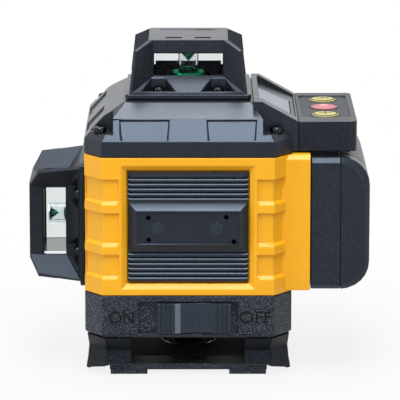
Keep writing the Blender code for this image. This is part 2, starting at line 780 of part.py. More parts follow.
def inlay(turn_deg, half, inset, offset):
    """A shallow drafted inlay in one lower slope of the cover, at an offset along it."""
    slope = math.hypot(inset, LOWER_SLOPE_RISE)
    tilt = math.atan2(LOWER_SLOPE_RISE, inset)
    x, z = INLAY_WIDTH / 2, slope / 2 - INLAY_DEPTH
    middle = Vector((offset, -half + inset / 2, SLOPE_LOW + LOWER_SLOPE_RISE / 2))
    place = Matrix.Rotation(math.radians(turn_deg), 4, "Z") @ Matrix.Translation(middle)
    place = place @ Matrix.Rotation(tilt, 4, "X")

    def frame(draft, height):
        corners = [(-x + draft, -z), (x - draft, -z), (x - draft / 2, z), (-x + draft / 2, z)]
        return [place @ Vector((cx, cy, height)) for cx, cy in corners]

    return loft(frame(2 * INLAY_DEPTH, -INLAY_DEPTH), frame(0, INLAY_DEPTH))


COVER_MID_X = HALF_X - SLOPE_INSET_X
COVER_MID_Y = HALF_Y - SLOPE_INSET_Y
COVER_TOP_X = COVER_MID_X - TOP_INSET_X
COVER_TOP_Y = COVER_MID_Y - TOP_INSET_Y
HUMP_END = BLOCK_LEFT - GAP
PIT_LEVEL = SLOPE_LOW + PIT_FLOOR
HUMP_TOP = PLATEAU + HUMP_RISE


def hump_outline():
    """Side view of the display hump: it stands beside the head's flange and falls to the control block."""
    left = HEAD_FLANGE / 2 + 2 * GAP
    return [
        (left, HUMP_TOP),
        (HUMP_START, HUMP_TOP),
        (HUMP_END, BLOCK_TOP),
        (HUMP_END, COVER_LOW + GAP),
        (left, COVER_LOW + GAP),
    ]


def top_cover():
    """Hipped cover in two slopes, with corner screw pits, slope inlays and the display hump."""
    slope_y = SLOPE_CORNER * CORNER_ALONG / CORNER_ACROSS
    obj = piece(
        "top_cover",
        loft(
            chamfered(HALF_X, HALF_Y, CORNER_ACROSS, CORNER_ALONG, COVER_LOW),
            chamfered(HALF_X, HALF_Y, CORNER_ACROSS, CORNER_ALONG, SLOPE_LOW),
            chamfered(COVER_MID_X, COVER_MID_Y, SLOPE_CORNER, slope_y, SLOPE_MID),
            chamfered(COVER_TOP_X, COVER_TOP_Y, TOP_CORNER, TOP_CORNER, PLATEAU),
        ),
        BLACK,
    )
    far = HALF_Y + CUT
    for sign_x, sign_y in CORNERS:
        cut(obj, corner_box(sign_x, sign_y, (PIT_X, PIT_Y), (far, far), PIT_LEVEL, PLATEAU + CUT))
    join(obj, prism("Y", hump_outline(), -HUMP_FRONT, HUMP_BACK))
    for offset in (-INLAY_OFFSET, INLAY_OFFSET):
        cut(
            obj,
            inlay(0, HALF_Y, SLOPE_INSET_Y, offset),
            inlay(180, HALF_Y, SLOPE_INSET_Y, offset),
            inlay(-90, HALF_X, SLOPE_INSET_X, offset),
        )
    pit_roof = PIT_LEVEL - COVER_WALL
    cut(
        obj,
        loft(
            chamfered(HALF_X - COVER_WALL, HALF_Y - COVER_WALL, CORNER_ACROSS, CORNER_ALONG, COVER_LOW - CUT),
            chamfered(HALF_X - COVER_WALL, HALF_Y - COVER_WALL, CORNER_ACROSS, CORNER_ALONG, pit_roof),
        ),
        loft(
            chamfered(COVER_TOP_X, PIT_Y - COVER_WALL, CORNER_ACROSS, CORNER_ALONG, COVER_LOW),
            chamfered(COVER_TOP_X - COVER_WALL, COVER_TOP_Y - COVER_WALL, CORNER_ACROSS, CORNER_ALONG, PLATEAU - COVER_WALL),
        ),
        rod(HEAD_HOLE_RADIUS, (0, 0, PLATEAU - CUT / 2), (0, 0, PLATEAU + CUT)),
    )
    for sign_x, sign_y in CORNERS:
        centre = (sign_x * SCREW_X, sign_y * SCREW_Y)
        hole = SCREW_SHANK_RADIUS + GAP
        cut(obj, rod(hole, (*centre, COVER_LOW - CUT), (*centre, PIT_LEVEL + CUT), SMALL_ROUND))
    cut(obj, *display_cuts())


def slope_box(y_low, y_high, left, right, low, high):
    """A box on the display's plane, which lies flatter than the hump's slope and sinks in at its upper end."""
    upper = HUMP_TOP - LCD_SINK
    tilt = math.atan2(upper - BLOCK_TOP, HUMP_END - HUMP_START)
    middle = Vector(((HUMP_START + HUMP_END) / 2, 0, (upper + BLOCK_TOP) / 2))
    bm = box((left, y_low, low), (right, y_high, high))
    place = Matrix.Translation(middle) @ Matrix.Rotation(tilt, 4, "Y")
    bmesh.ops.transform(bm, matrix=place, verts=bm.verts[:])
    return bm


LCD_FRONT = LCD_CENTRE_Y - LCD_LENGTH / 2
LCD_BACK = LCD_CENTRE_Y + LCD_LENGTH / 2
LCD_LEFT = -LCD_OFFSET - LCD_WIDTH / 2
LCD_RIGHT = -LCD_OFFSET + LCD_WIDTH / 2


def display_cuts():
    """The bezel's shallow recess in the slope, and the deeper seat of the window in it."""
    seat = -BEZEL_DEPTH - LCD_THICKNESS - GAP
    bezel_left, bezel_right = LCD_LEFT - LCD_RIM_LEFT, LCD_RIGHT + LCD_RIM_RIGHT
    return (
        slope_box(LCD_FRONT - LCD_RIM_FRONT, BEZEL_BACK, bezel_left, bezel_right, -BEZEL_DEPTH, CUT),
        slope_box(LCD_FRONT - GAP, LCD_BACK + GAP, LCD_LEFT - GAP, LCD_RIGHT + GAP, seat, CUT),
    )


def lcd_plate():
    """The display window, its face just below the bezel's floor."""
    top = -BEZEL_DEPTH - GAP / 2
    return slope_box(LCD_FRONT, LCD_BACK, LCD_LEFT, LCD_RIGHT, top - LCD_THICKNESS + GAP, top)


def cover_screws():
    names = {(-1, -1): "front_left", (1, -1): "front_right", (-1, 1): "rear_left", (1, 1): "rear_right"}
    seat = PIT_LEVEL + GAP
    top = seat + SCREW_HEAD_HEIGHT
    for corner, name in names.items():
        axis = pivot("screw_axis_" + name, (corner[0] * SCREW_X, corner[1] * SCREW_Y, 0))
        profile = [
            (0, top),
            (SCREW_HEAD_RADIUS * 0.7, top),
            (SCREW_HEAD_RADIUS, top - SCREW_HEAD_HEIGHT / 2),
            (SCREW_HEAD_RADIUS, seat),
            (SCREW_SHANK_RADIUS, seat),
            (SCREW_SHANK_RADIUS, seat - SCREW_LENGTH),
            (0, seat - SCREW_LENGTH),
        ]
        turned("cover_screw_" + name, profile, STEEL, axis, segments=SMALL_ROUND)


BUTTON_X = (BLOCK_LEFT + BLOCK_RIGHT) / 2 - BLOCK_WALL / 4
PAD_CENTRE_Y = (HUMP_BACK - HUMP_FRONT) / 2 + PAD_SHIFT
PAD_TOP = BLOCK_TOP - PAD_DEPTH
BUTTON_SEAT = PAD_TOP - BLOCK_WALL
BUTTON_LOW = BUTTON_SEAT - GAP - BUTTON_FLANGE
KEY_BOARD_TOP = BUTTON_LOW - BUTTON_TRAVEL - GAP
KEY_BOARD_LOW = KEY_BOARD_TOP - BOARD_THICKNESS


def rounded(left, right, front, back, radius, corners=(1, 1, 1, 1), steps=5):
    """Rectangle whose corners, from front right round to front left, are rounded where set."""
    points = []
    centres = [(right, front, -1, 1), (right, back, -1, -1), (left, back, 1, -1), (left, front, 1, 1)]
    for i, (x, y, in_x, in_y) in enumerate(centres):
        if corners[i]:
            start = -90 + 90 * i
            points += arc((x + in_x * radius, y + in_y * radius), radius, start, start + 90, steps)
        else:
            points.append((x, y))
    return points


def control_block():
    """Keypad housing beside the hump, open towards it, with a sunk pad and three button holes."""
    outline = rounded(BLOCK_LEFT, BLOCK_RIGHT, -HUMP_FRONT, HUMP_BACK, BLOCK_ROUND, (1, 1, 0, 0))
    obj = piece("control_block", prism("Z", outline, BLOCK_LOW, BLOCK_TOP), BLACK)
    pad = rounded(
        BUTTON_X - PAD_WIDTH / 2,
        BUTTON_X + PAD_WIDTH / 2,
        PAD_CENTRE_Y - PAD_LENGTH / 2,
        PAD_CENTRE_Y + PAD_LENGTH / 2,
        PAD_ROUND,
    )
    cut(
        obj,
        prism("Z", pad, PAD_TOP, BLOCK_TOP + CUT),
        box(
            (BLOCK_LEFT - CUT, -HUMP_FRONT + BLOCK_WALL, KEY_BOARD_LOW - GAP),
            (BLOCK_RIGHT - BLOCK_WALL, HUMP_BACK - BLOCK_WALL, BUTTON_SEAT),
        ),
    )
    for y in button_places():
        cut(obj, rod(BUTTON_RADIUS + GAP, (BUTTON_X, y, BUTTON_SEAT - CUT / 20), (BUTTON_X, y, BLOCK_TOP + CUT)))
    board = box(
        (BLOCK_LEFT + BLOCK_WALL, -HUMP_FRONT + BLOCK_WALL + GAP, KEY_BOARD_LOW),
        (BLOCK_RIGHT - BLOCK_WALL - GAP, HUMP_BACK - BLOCK_WALL - GAP, KEY_BOARD_TOP),
    )
    piece("keypad_board", board, BOARD_GREEN)


def button_places():
    return [PAD_CENTRE_Y + i * BUTTON_PITCH for i in (-1, 0, 1)]


def buttons():
    looks = (("button_lines", KEY_YELLOW), ("button_power", KEY_RED), ("button_dim", KEY_YELLOW))
    crown = PAD_TOP + BUTTON_PROUD
    for (name, material), y in zip(looks, button_places()):
        axis = pivot(name + "_axis", (BUTTON_X, y, 0))
        profile = [
            (0, crown + BUTTON_PROUD / 2),
            (BUTTON_RADIUS * 0.5, crown + BUTTON_PROUD * 0.4),
            (BUTTON_RADIUS * 0.85, crown),
            (BUTTON_RADIUS, crown - BUTTON_PROUD / 2),
            (BUTTON_RADIUS, BUTTON_LOW + BUTTON_FLANGE),
            (BUTTON_RADIUS + 2 * GAP, BUTTON_LOW + BUTTON_FLANGE),
            (BUTTON_RADIUS + 2 * GAP, BUTTON_LOW),
            (0, BUTTON_LOW),
        ]
        turned(name, profile, material, axis)


def bay(turn_deg):
    """One open bay of a prism head: a sloping sill below and two walls that spread outwards."""
    inner = HEAD_CAVITY / 2 + WINDOW_LEAF
    foot = HEAD_FOOT / 2
    high = HEAD_HEIGHT + CUT
    turn = Matrix.Rotation(math.radians(turn_deg), 4, "Z")

    def frame(distance, low):
        half = HEAD_WINDOW / 2 + BAY_SPREAD_RATIO * (distance - inner)
        corners = [(-half, low), (half, low), (half, high), (-half, high)]
        return [turn @ Vector((x, -distance, z)) for x, z in corners]

    sill = HEAD_LIP + GAP
    return loft(frame(inner, WINDOW_LOW), frame(foot, sill), frame(foot + CUT / 4, sill))


def screw_pit(sign_x, sign_y):
    """A four-sided pit in a head's sill for one of its fixing screws."""
    inner, outer = HEAD_CAVITY / 2 + 2 * WINDOW_LEAF, HEAD_FOOT / 2 - WINDOW_LEAF
    outline = [
        (sign_x * PIT_OUTER[0], sign_y * outer),
        (sign_x * PIT_OUTER[1], sign_y * outer),
        (sign_x * PIT_INNER[1], sign_y * inner),
        (sign_x * PIT_INNER[0], sign_y * inner),
    ]
    return prism("Z", outline, HEAD_LIP + GAP, WINDOW_LOW + GAP)


def cap_marks():
    """The cap's shallow recess and the two slots along each of its front and rear edges."""
    half, floor = CAP_RECESS / 2, HEAD_HEIGHT - CAP_RECESS_DEPTH
    marks = [box((-half, -half, floor), (half, half, HEAD_HEIGHT + CUT))]
    for sign_x, sign_y in CORNERS:
        near = (CAP_SLOT_OFFSET - CAP_SLOT_LENGTH / 2, half - CAP_SLOT_WIDTH - GAP)
        far = (CAP_SLOT_OFFSET + CAP_SLOT_LENGTH / 2, half - GAP)
        marks.append(corner_box(sign_x, sign_y, near, far, floor - CAP_RECESS_DEPTH, HEAD_HEIGHT + CUT / 2))
    return marks


def head_mesh():
    """A prism head about +Z: flange, four diagonal fins, sloping sills and a flat cap over the windows."""
    def ring(side, z):
        half = side / 2
        return chamfered(half, half, half / 20, half / 20, z)

    blank = piece(
        "head_blank",
        loft(
            ring(HEAD_FLANGE, 0),
            ring(HEAD_FLANGE, HEAD_LIP),
            ring(HEAD_FOOT, HEAD_LIP + GAP),
            ring(HEAD_SHOULDER, HEAD_SHOULDER_HEIGHT),
            ring(HEAD_CAP, HEAD_HEIGHT),
        ),
        BLACK,
    )
    cavity, window = HEAD_CAVITY / 2, HEAD_WINDOW / 2
    reach = cavity + WINDOW_LEAF + GAP
    cut(
        blank,
        box((-cavity, -cavity, HEAD_FLOOR), (cavity, cavity, WINDOW_HIGH)),
        box((-window, -reach, WINDOW_LOW), (window, reach, WINDOW_HIGH)),
        box((-reach, -window, WINDOW_LOW), (reach, window, WINDOW_HIGH)),
        rod(HEAD_HOLE_RADIUS, (0, 0, -CUT), (0, 0, HEAD_FLOOR + CUT / 10)),
        *[bay(turn) for turn in (0, 90, 180, 270)],
        *[screw_pit(*corner) for corner in CORNERS],
        *cap_marks(),
    )
    bpy.context.view_layer.update()
    graph = bpy.context.evaluated_depsgraph_get()
    mesh = bpy.data.meshes.new_from_object(blank.evaluated_get(graph))
    for modifier in blank.modifiers:
        bpy.data.objects.remove(modifier.object, do_unlink=True)
    bpy.data.objects.remove(blank, do_unlink=True)
    return mesh


QUARTER = math.pi / 2
HEADS = {
    "top": ((0, 0, PLATEAU + GAP), (0, 0, 0)),
    "left": ((-HALF_X - GAP, 0, SIDE_HEAD_HEIGHT), (0, -QUARTER, 0)),
    "rear": ((0, HALF_Y + GAP, SIDE_HEAD_HEIGHT), (-QUARTER, 0, 0)),
}


def prism_heads():
    shared = head_mesh()
    for name, (place, turn) in HEADS.items():
        seat = pivot(name + "_head_seat", place, turn=turn)
        place_mesh(name + "_head_frame", shared, BLACK, seat, local=True)
        outer = HEAD_CAVITY / 2 - GAP
        inner = outer - GLASS_WALL
        low, high = HEAD_FLOOR + GAP, WINDOW_HIGH - GAP
        pane = piece(name + "_head_glass", box((-outer, -outer, low), (outer, outer, high)), CLEAR, seat, local=True)
        modifier = pane.modifiers.new("hollow", "BOOLEAN")
        modifier.object = tool(box((-inner, -inner, low - CUT), (inner, inner, high + CUT)), seat)


def emitter(name, mount, reach, scale, barrel_length):
    """Laser barrel, lens, glass tube and cone mirror along a mount's +Z axis."""
    barrel = BARREL_RADIUS * scale
    lens, tube = LENS_RADIUS * scale, TUBE_RADIUS * scale
    inner = tube - TUBE_WALL
    top = reach
    profile = [
        (0, top),
        (barrel - WINDOW_LEAF, top),
        (barrel, top - WINDOW_LEAF),
        (barrel, top - barrel_length),
        (0, top - barrel_length),
    ]
    turned(name + "_laser_barrel", profile, ALUMINIUM, mount)
    lens_low = top + GAP
    lens_top = lens_low + LENS_THICKNESS
    profile = [
        (0, lens_top),
        (tube + TUBE_WALL, lens_top),
        (lens, lens_low + LENS_THICKNESS / 2),
        (lens, lens_low),
        (0, lens_low),
    ]
    turned(name + "_lens", profile, GREEN_GLASS, mount)
    tube_low = lens_top + GAP
    tube_top = tube_low + TUBE_LENGTH * scale
    profile = [(tube, tube_top), (tube, tube_low), (inner, tube_low), (inner, tube_top)]
    turned(name + "_glass_tube", profile, CLEAR, mount, closed=True)
    cone_radius = inner - GAP
    profile = [
        (0, tube_top),
        (cone_radius, tube_top),
        (cone_radius, tube_top - TUBE_WALL / 2),
        (0, tube_top - CONE_HEIGHT * scale),
    ]
    turned(name + "_cone_mirror", profile, MIRROR, mount)


GIMBAL_INNER = GIMBAL_RADIUS - GIMBAL_WALL


def gimbal_and_pendulum():
    """Gimbal ring on two X pins, and the pendulum that hangs from it on two Y pins."""
    centre = (0, 0, PIVOT_HEIGHT)
    tilt_x = pivot("gimbal_axis", centre)
    low, high = PIVOT_HEIGHT - GIMBAL_HEIGHT / 2, PIVOT_HEIGHT + GIMBAL_HEIGHT / 2
    ring = piece("gimbal_ring", rod(GIMBAL_RADIUS, (0, 0, low), (0, 0, high)), ALUMINIUM, tilt_x)
    cut(ring, rod(GIMBAL_INNER, (0, 0, low - CUT), (0, 0, high + CUT)))
    hole = PIN_RADIUS + GAP
    span_far = GIMBAL_RADIUS + CUT / 4
    cut(ring, rod(hole, (-span_far, 0, PIVOT_HEIGHT), (span_far, 0, PIVOT_HEIGHT), SMALL_ROUND))
    cut(ring, rod(hole, (0, -span_far, PIVOT_HEIGHT), (0, span_far, PIVOT_HEIGHT), SMALL_ROUND))
    pin_start = GIMBAL_INNER + GIMBAL_WALL / 4
    for side, name in ((-1, "left"), (1, "right")):
        end = BRIDGE_X + BRIDGE_THICKNESS
        points = [(side * x, 0, PIVOT_HEIGHT) for x in (pin_start, end)]
        piece("gimbal_pin_" + name, rod(PIN_RADIUS, *points, SMALL_ROUND), STEEL, tilt_x)

    tilt_y = pivot("pendulum_axis", centre, tilt_x)
    tilt_y.location = (0, 0, 0)
    column_top = PIVOT_HEIGHT + COLUMN_ABOVE_PIVOT
    half, bevel = COLUMN_HALF, COLUMN_HALF / 4
    column = pendulum_piece(
        "pendulum_frame",
        loft(*[chamfered(half, half, bevel, bevel, z) for z in (COLUMN_LOW, column_top)]),
        ALUMINIUM,
        tilt_y,
    )
    join(
        column,
        rod(HUB_RADIUS, (-HUB_REACH, 0, SIDE_HEAD_HEIGHT), (0, 0, SIDE_HEAD_HEIGHT)),
        rod(HUB_RADIUS, (0, HUB_REACH, SIDE_HEAD_HEIGHT), (0, 0, SIDE_HEAD_HEIGHT)),
    )
    pin_depth = COLUMN_HALF / 2
    for side, name in ((-1, "front"), (1, "rear")):
        tip = side * (pin_depth - GAP)
        cut(column, rod(hole, (0, tip, PIVOT_HEIGHT), (0, side * GIMBAL_RADIUS, PIVOT_HEIGHT), SMALL_ROUND))
        points = [(0, side * y, PIVOT_HEIGHT) for y in (pin_depth, GIMBAL_RADIUS - GIMBAL_WALL / 4)]
        pendulum_piece("pendulum_pin_" + name, rod(PIN_RADIUS, *points, SMALL_ROUND), STEEL, tilt_y)
    weight_top = COLUMN_LOW - GAP
    weight = pendulum_piece(
        "counterweight", rod(WEIGHT_RADIUS, (0, 0, weight_top - WEIGHT_HEIGHT), (0, 0, weight_top)), BRASS, tilt_y
    )
    trim_start = HUB_RADIUS + GAP
    right = [(x, 0, SIDE_HEAD_HEIGHT) for x in (trim_start, TRIM_RIGHT)]
    front = [(0, -y, SIDE_HEAD_HEIGHT) for y in (trim_start, TRIM_FRONT)]
    pendulum_piece("trim_weight_right", rod(TRIM_RADIUS, *right), BRASS, tilt_y)
    pendulum_piece("trim_weight_front", rod(TRIM_RADIUS, *front), BRASS, tilt_y)
    lower_radius = BARREL_RADIUS * LOWER_SCALE
    cut(weight, rod(lower_radius + GAP, (0, 0, COLUMN_LOW - CUT), (0, 0, COLUMN_LOW + CUT)))

    starts = {"top": PLATEAU - column_top - GAP, "left": HALF_X - HUB_REACH, "rear": HALF_Y - HUB_REACH}
    for name, (place, turn) in HEADS.items():
        mount = pivot(name + "_emitter", Vector(place) - Vector(centre), tilt_y, turn)
        mount.location = Vector(place) - Vector(centre)
        emitter(name, mount, BARREL_REACH, 1.0, BARREL_REACH + starts[name] + GAP)
    below = pivot("lower_emitter", centre, tilt_y, (math.pi, 0, 0))
    below.location = (0, 0, weight_top - PIVOT_HEIGHT)
    emitter("lower", below, LOWER_BARREL_LENGTH, LOWER_SCALE, LOWER_BARREL_LENGTH)


def pendulum_piece(name, bm, material, axis):
    """A pendulum piece in the assembly's frame, carried by the inner gimbal axis."""
    obj = piece(name, bm, material, axis, local=True)
    obj.location = (0, 0, -PIVOT_HEIGHT)
    return obj


def chassis():
    """Plate in the foot of the shell with two portal bridges that hold the gimbal's bearings."""
    low = SHELL_LOW
    top = low + CHASSIS_THICKNESS
    half_y = HALF_Y - (SHELL_WALL + SHELL_FRONT_WALL) / 2 - GAP
    shift = (SHELL_FRONT_WALL - SHELL_WALL) / 2
    obj = piece(
        "chassis",
        loft(
            *[
                chamfered(HALF_X - SHELL_WALL - GAP, half_y, CORNER_ACROSS, CORNER_ALONG, z, shift)
                for z in (low, top)
            ]
        ),
        GREY_PLASTIC,
    )
    cut(obj, rod(MAGNET_BORE, (0, 0, low - CUT), (0, 0, top + CUT)))
    bridge_top = PIVOT_HEIGHT + BRIDGE_HEIGHT / 2
    for side, name in ((-1, "left"), (1, "right")):
        x_low, x_high = span(side * BRIDGE_X, side * (BRIDGE_X + BRIDGE_THICKNESS))
        join(obj, box((x_low, -BRIDGE_HALF_Y, top - GAP), (x_high, BRIDGE_HALF_Y, bridge_top)))
        inner_y = BRIDGE_HALF_Y - BRIDGE_LEG
        cut(
            obj,
            box(
                (x_low - GAP, -inner_y, top + GAP),
                (x_high + GAP, inner_y, PIVOT_HEIGHT - BRIDGE_HEIGHT / 2),
            ),
            rod(
                BEARING_RADIUS + GAP,
                (x_low - CUT / 10, 0, PIVOT_HEIGHT),
                (x_high + CUT / 10, 0, PIVOT_HEIGHT),
                SMALL_ROUND,
            ),
        )
        bearing = piece(
            "bearing_" + name,
            rod(BEARING_RADIUS, (x_low, 0, PIVOT_HEIGHT), (x_high, 0, PIVOT_HEIGHT), SMALL_ROUND),
            STEEL,
        )
        bore = PIN_RADIUS + GAP
        cut(
            bearing,
            rod(bore, (x_low - CUT, 0, PIVOT_HEIGHT), (x_high + CUT, 0, PIVOT_HEIGHT), SMALL_ROUND),
        )
    axis = pivot("plumb_axis", (0, 0, 0))
    high = low - GAP
    profile = [
        (MAGNET_RADIUS, high),
        (MAGNET_RADIUS, high - MAGNET_HEIGHT),
        (MAGNET_BORE, high - MAGNET_HEIGHT),
        (MAGNET_BORE, high),
    ]
    turned("damping_magnets", profile, STEEL, axis, closed=True)
    board = box(
        (MAIN_BOARD_X, -MAIN_BOARD_HALF_Y, top + GAP),
        (MAIN_BOARD_X + BOARD_THICKNESS, MAIN_BOARD_HALF_Y, top + GAP + MAIN_BOARD_HEIGHT),
    )
    piece("main_board", board, BOARD_GREEN)
    return axis


PACK_CENTRE_X = PACK_LEFT + PACK_SEAM
CELL_HEIGHTS = [PACK_LOW + PACK_HEIGHT / 2 + side * CELL_SPACING / 2 for side in SIDES]


def pack_half(left, right, inset, y, radius, steps=6):
    """Section of the battery pack at one depth: the case is square, the end cap rounded where radius is set."""
    low, high = PACK_LOW + inset, PACK_TOP - inset
    points = [(left, high), (left, low)]
    if radius:
        right -= inset
        points += arc((right - radius, low + radius), radius, -90, 0, steps)
        points += arc((right - radius, high - radius), radius, 0, 90, steps)
    else:
        points += [(right, low), (right, high)]
    return [(x, y, z) for x, z in points]


def battery_pack():
    """Two-part pack with the cells lying along Y, and finger grooves round the end cap."""
    rest = pivot("battery_rest", (PACK_LEFT, 0, PACK_LOW))
    seam_left, seam_right = PACK_CENTRE_X - GAP / 2, PACK_CENTRE_X + GAP / 2
    ends = [(-PACK_HALF_Y, PACK_BEVEL), (-PACK_HALF_Y + PACK_BEVEL, 0)]
    ends += [(-y, inset) for y, inset in reversed(ends)]
    case = piece("battery_case", loft(*[pack_half(PACK_LEFT, seam_left, inset, y, 0) for y, inset in ends]), BLACK, rest)
    stations = ends[:2]
    for i in range(RIB_GROOVES):
        middle = (i - (RIB_GROOVES - 1) / 2) * RIB_GROOVE_PITCH
        half = RIB_GROOVE_WIDTH / 2
        for step, depth in ((-half, 0), (-half / 2, RIB_GROOVE_DEPTH), (half / 2, RIB_GROOVE_DEPTH), (half, 0)):
            stations.append((middle + step, depth))
    stations += ends[2:]
    sections = [pack_half(seam_right, PACK_RIGHT, inset, y, PACK_ROUND) for y, inset in stations]
    cap = piece("battery_end_cap", loft(*sections), BLACK, rest)
    half = CELL_LENGTH / 2
    for z, name in zip(CELL_HEIGHTS, ("lower", "upper")):
        bore = CELL_RADIUS + GAP
        for obj in (case, cap):
            cut(obj, rod(bore, (PACK_CENTRE_X, -half - GAP, z), (PACK_CENTRE_X, half + GAP, z)))
        cell = rod(CELL_RADIUS, (PACK_CENTRE_X, -half, z), (PACK_CENTRE_X, half, z))
        piece("battery_cell_" + name, cell, CELL_WRAP, rest)


def smooth_round_pieces():
    for obj in PARTS.objects:
        if obj.type == "MESH" and obj.data.polygons:
            obj.data.shade_smooth()
            obj.data.set_sharp_from_angle(angle=math.radians(30))


foot_frame()
plumb = chassis()
tripod_insert(plumb)
lower_window(plumb)
base_housing()
transport_lock()
body_shell()
front_panel()
top_cover()
piece("lcd_window", lcd_plate(), DISPLAY)
cover_screws()
control_block()
buttons()
piece("terminal_block", terminal_recess(0), GREY_PLASTIC)
prism_heads()
gimbal_and_pendulum()
battery_pack()
smooth_round_pieces()
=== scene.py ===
import math
from fnmatch import fnmatch

import bpy
from mathutils import Matrix, Vector

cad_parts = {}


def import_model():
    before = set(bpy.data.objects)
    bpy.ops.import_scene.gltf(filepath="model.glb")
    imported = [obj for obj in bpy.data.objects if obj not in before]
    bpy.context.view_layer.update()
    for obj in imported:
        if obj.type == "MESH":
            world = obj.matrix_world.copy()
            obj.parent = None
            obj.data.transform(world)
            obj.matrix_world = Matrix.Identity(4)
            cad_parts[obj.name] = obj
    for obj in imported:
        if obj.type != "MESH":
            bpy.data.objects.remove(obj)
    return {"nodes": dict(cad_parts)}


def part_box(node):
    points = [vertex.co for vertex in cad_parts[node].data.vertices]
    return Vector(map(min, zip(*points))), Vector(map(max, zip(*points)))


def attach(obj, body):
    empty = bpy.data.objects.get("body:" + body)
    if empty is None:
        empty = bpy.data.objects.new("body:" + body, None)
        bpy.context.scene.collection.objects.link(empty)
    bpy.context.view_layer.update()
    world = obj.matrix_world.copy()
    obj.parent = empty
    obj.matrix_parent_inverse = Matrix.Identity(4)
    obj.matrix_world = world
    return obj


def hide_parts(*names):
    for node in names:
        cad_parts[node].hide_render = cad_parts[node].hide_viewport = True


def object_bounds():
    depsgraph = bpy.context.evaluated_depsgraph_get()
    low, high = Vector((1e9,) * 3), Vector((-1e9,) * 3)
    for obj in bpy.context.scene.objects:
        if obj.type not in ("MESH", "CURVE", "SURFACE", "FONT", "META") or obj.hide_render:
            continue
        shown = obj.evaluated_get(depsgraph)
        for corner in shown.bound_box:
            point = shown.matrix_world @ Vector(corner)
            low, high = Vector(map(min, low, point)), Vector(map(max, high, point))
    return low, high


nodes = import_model()["nodes"]
cad_low, cad_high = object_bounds()

# Lengths are in millimetres and angles in degrees, except in the studio, which is in metres.
MM = 0.001
# A point this near a level lies at it; points nearer than MERGE are one, and an edge under SLIVER is none.
NEAR, MERGE, SLIVER = 0.05, 0.002, 0.01
# Share of a face's normal, or of an edge's run, past which it lies straight along an axis.
STRAIGHT = 0.9
X, Y, Z = Vector((1, 0, 0)), Vector((0, 1, 0)), Vector((0, 0, 1))


def middle(node):
    """Middle of a CAD node's box."""
    low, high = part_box(node)
    return (low + high) / 2


# Plumb axis of the level in this frame: the foot's brass insert stands on it.
PLUMB = middle("tripod_insert")
PLUMB.z = 0


def at(x, y, z):
    """Point given in millimetres from the plumb axis and the floor."""
    return PLUMB + Vector((x, y, z)) * MM


def spot(point):
    """Millimetres from the plumb axis and the floor to a point."""
    return (point - PLUMB) / MM


# ---------------------------------------------------------------- materials


def tint(hex_colour):
    """Linear RGBA of an sRGB hex colour."""
    parts = [int(hex_colour[i : i + 2], 16) / 255 for i in (0, 2, 4)]
    return [c / 12.92 if c <= 0.04045 else ((c + 0.055) / 1.055) ** 2.4 for c in parts] + [1.0]


def put(tree, kind, values=None, links=None, **settings):
    """Adds one node, with its settings, its socket values and the sockets that feed it."""
    node = tree.nodes.new(kind)
    for key, value in settings.items():
        setattr(node, key, value)
    for socket, value in (values or {}).items():
        node.inputs[socket].default_value = value
    for socket, source in (links or {}).items():
        tree.links.new(source, node.inputs[socket])
    return node


def blank(name):
    """A new material with its tree, its shader and Object coordinates."""
    material = bpy.data.materials.new(name)
    material.use_nodes = True
    tree = material.node_tree
    shader = tree.nodes["Principled BSDF"]
    place = put(tree, "ShaderNodeTexCoord").outputs["Object"]
    return material, tree, shader, place


def skin(tree, shader, colour, sheen, bump):
    """Feeds the shader its colour, its shine and its grain."""
    tree.links.new(colour.outputs["Result"], shader.inputs["Base Color"])
    tree.links.new(sheen.outputs["Result"], shader.inputs["Roughness"])
    tree.links.new(bump.outputs["Normal"], shader.inputs["Normal"])


# Size of the patches over which a moulding's colour and shine drift, as the melt ran.
CLOUD = 14.0
ABS_IOR = 1.53


def moulded(
    name,
    base,
    pale,
    grit,
    depth,
    rough,
    spread,
    share=0.5,
    specks=(0.42, 0.72),
    specular=0.5,
    sheen_tint="FFFFFF",
):
    """Injection-moulded plastic: the spark-eroded mould leaves a grit that mottles its shine, and its colour
    drifts between base and pale; on the black mouldings the pale specks are painted glints off that grit.

    Real grit is 0.1 mm or finer, too fine to show in the render, so it is drawn at 0.4 mm or coarser.
    """
    material, tree, shader, place = blank(name)
    grain = put(
        tree,
        "ShaderNodeTexNoise",
        {"Scale": 1 / (grit * MM), "Detail": 2.0, "Roughness": 0.6},
        {"Vector": place},
    )
    cloud = put(tree, "ShaderNodeTexNoise", {"Scale": 1 / (CLOUD * MM), "Detail": 3.0}, {"Vector": place})
    speck = put(
        tree,
        "ShaderNodeMapRange",
        {"From Min": specks[0], "From Max": specks[1]},
        {"Value": grain.outputs["Fac"]},
    )
    drift = put(
        tree,
        "ShaderNodeMapRange",
        {"From Min": 0.3, "From Max": 0.7, "To Min": share * 0.6, "To Max": share},
        {"Value": cloud.outputs["Fac"]},
    )
    blend = put(
        tree,
        "ShaderNodeMath",
        links={0: speck.outputs["Result"], 1: drift.outputs["Result"]},
        operation="MULTIPLY",
    )
    colour = put(
        tree,
        "ShaderNodeMix",
        {"A": tint(base), "B": tint(pale)},
        {"Factor": blend.outputs["Value"]},
        data_type="RGBA",
    )
    sheen = put(
        tree,
        "ShaderNodeMapRange",
        {"To Min": rough - spread, "To Max": rough + spread},
        {"Value": cloud.outputs["Fac"]},
    )
    bump = put(
        tree,
        "ShaderNodeBump",
        {"Strength": 0.6, "Distance": depth * MM},
        {"Height": grain.outputs["Fac"]},
    )
    skin(tree, shader, colour, sheen, bump)
    shader.inputs["IOR"].default_value = ABS_IOR
    shader.inputs["Specular IOR Level"].default_value = specular
    shader.inputs["Specular Tint"].default_value = tint(sheen_tint)
    return material


def black_abs(name, base, pale, **surface):
    """Black moulded plastic, which mirrors the studio with a cool sheen."""
    return moulded(name, base, pale, sheen_tint="C2D6F2", **surface)


# Depth of a tool mark.
MARK_DEPTH = 0.02


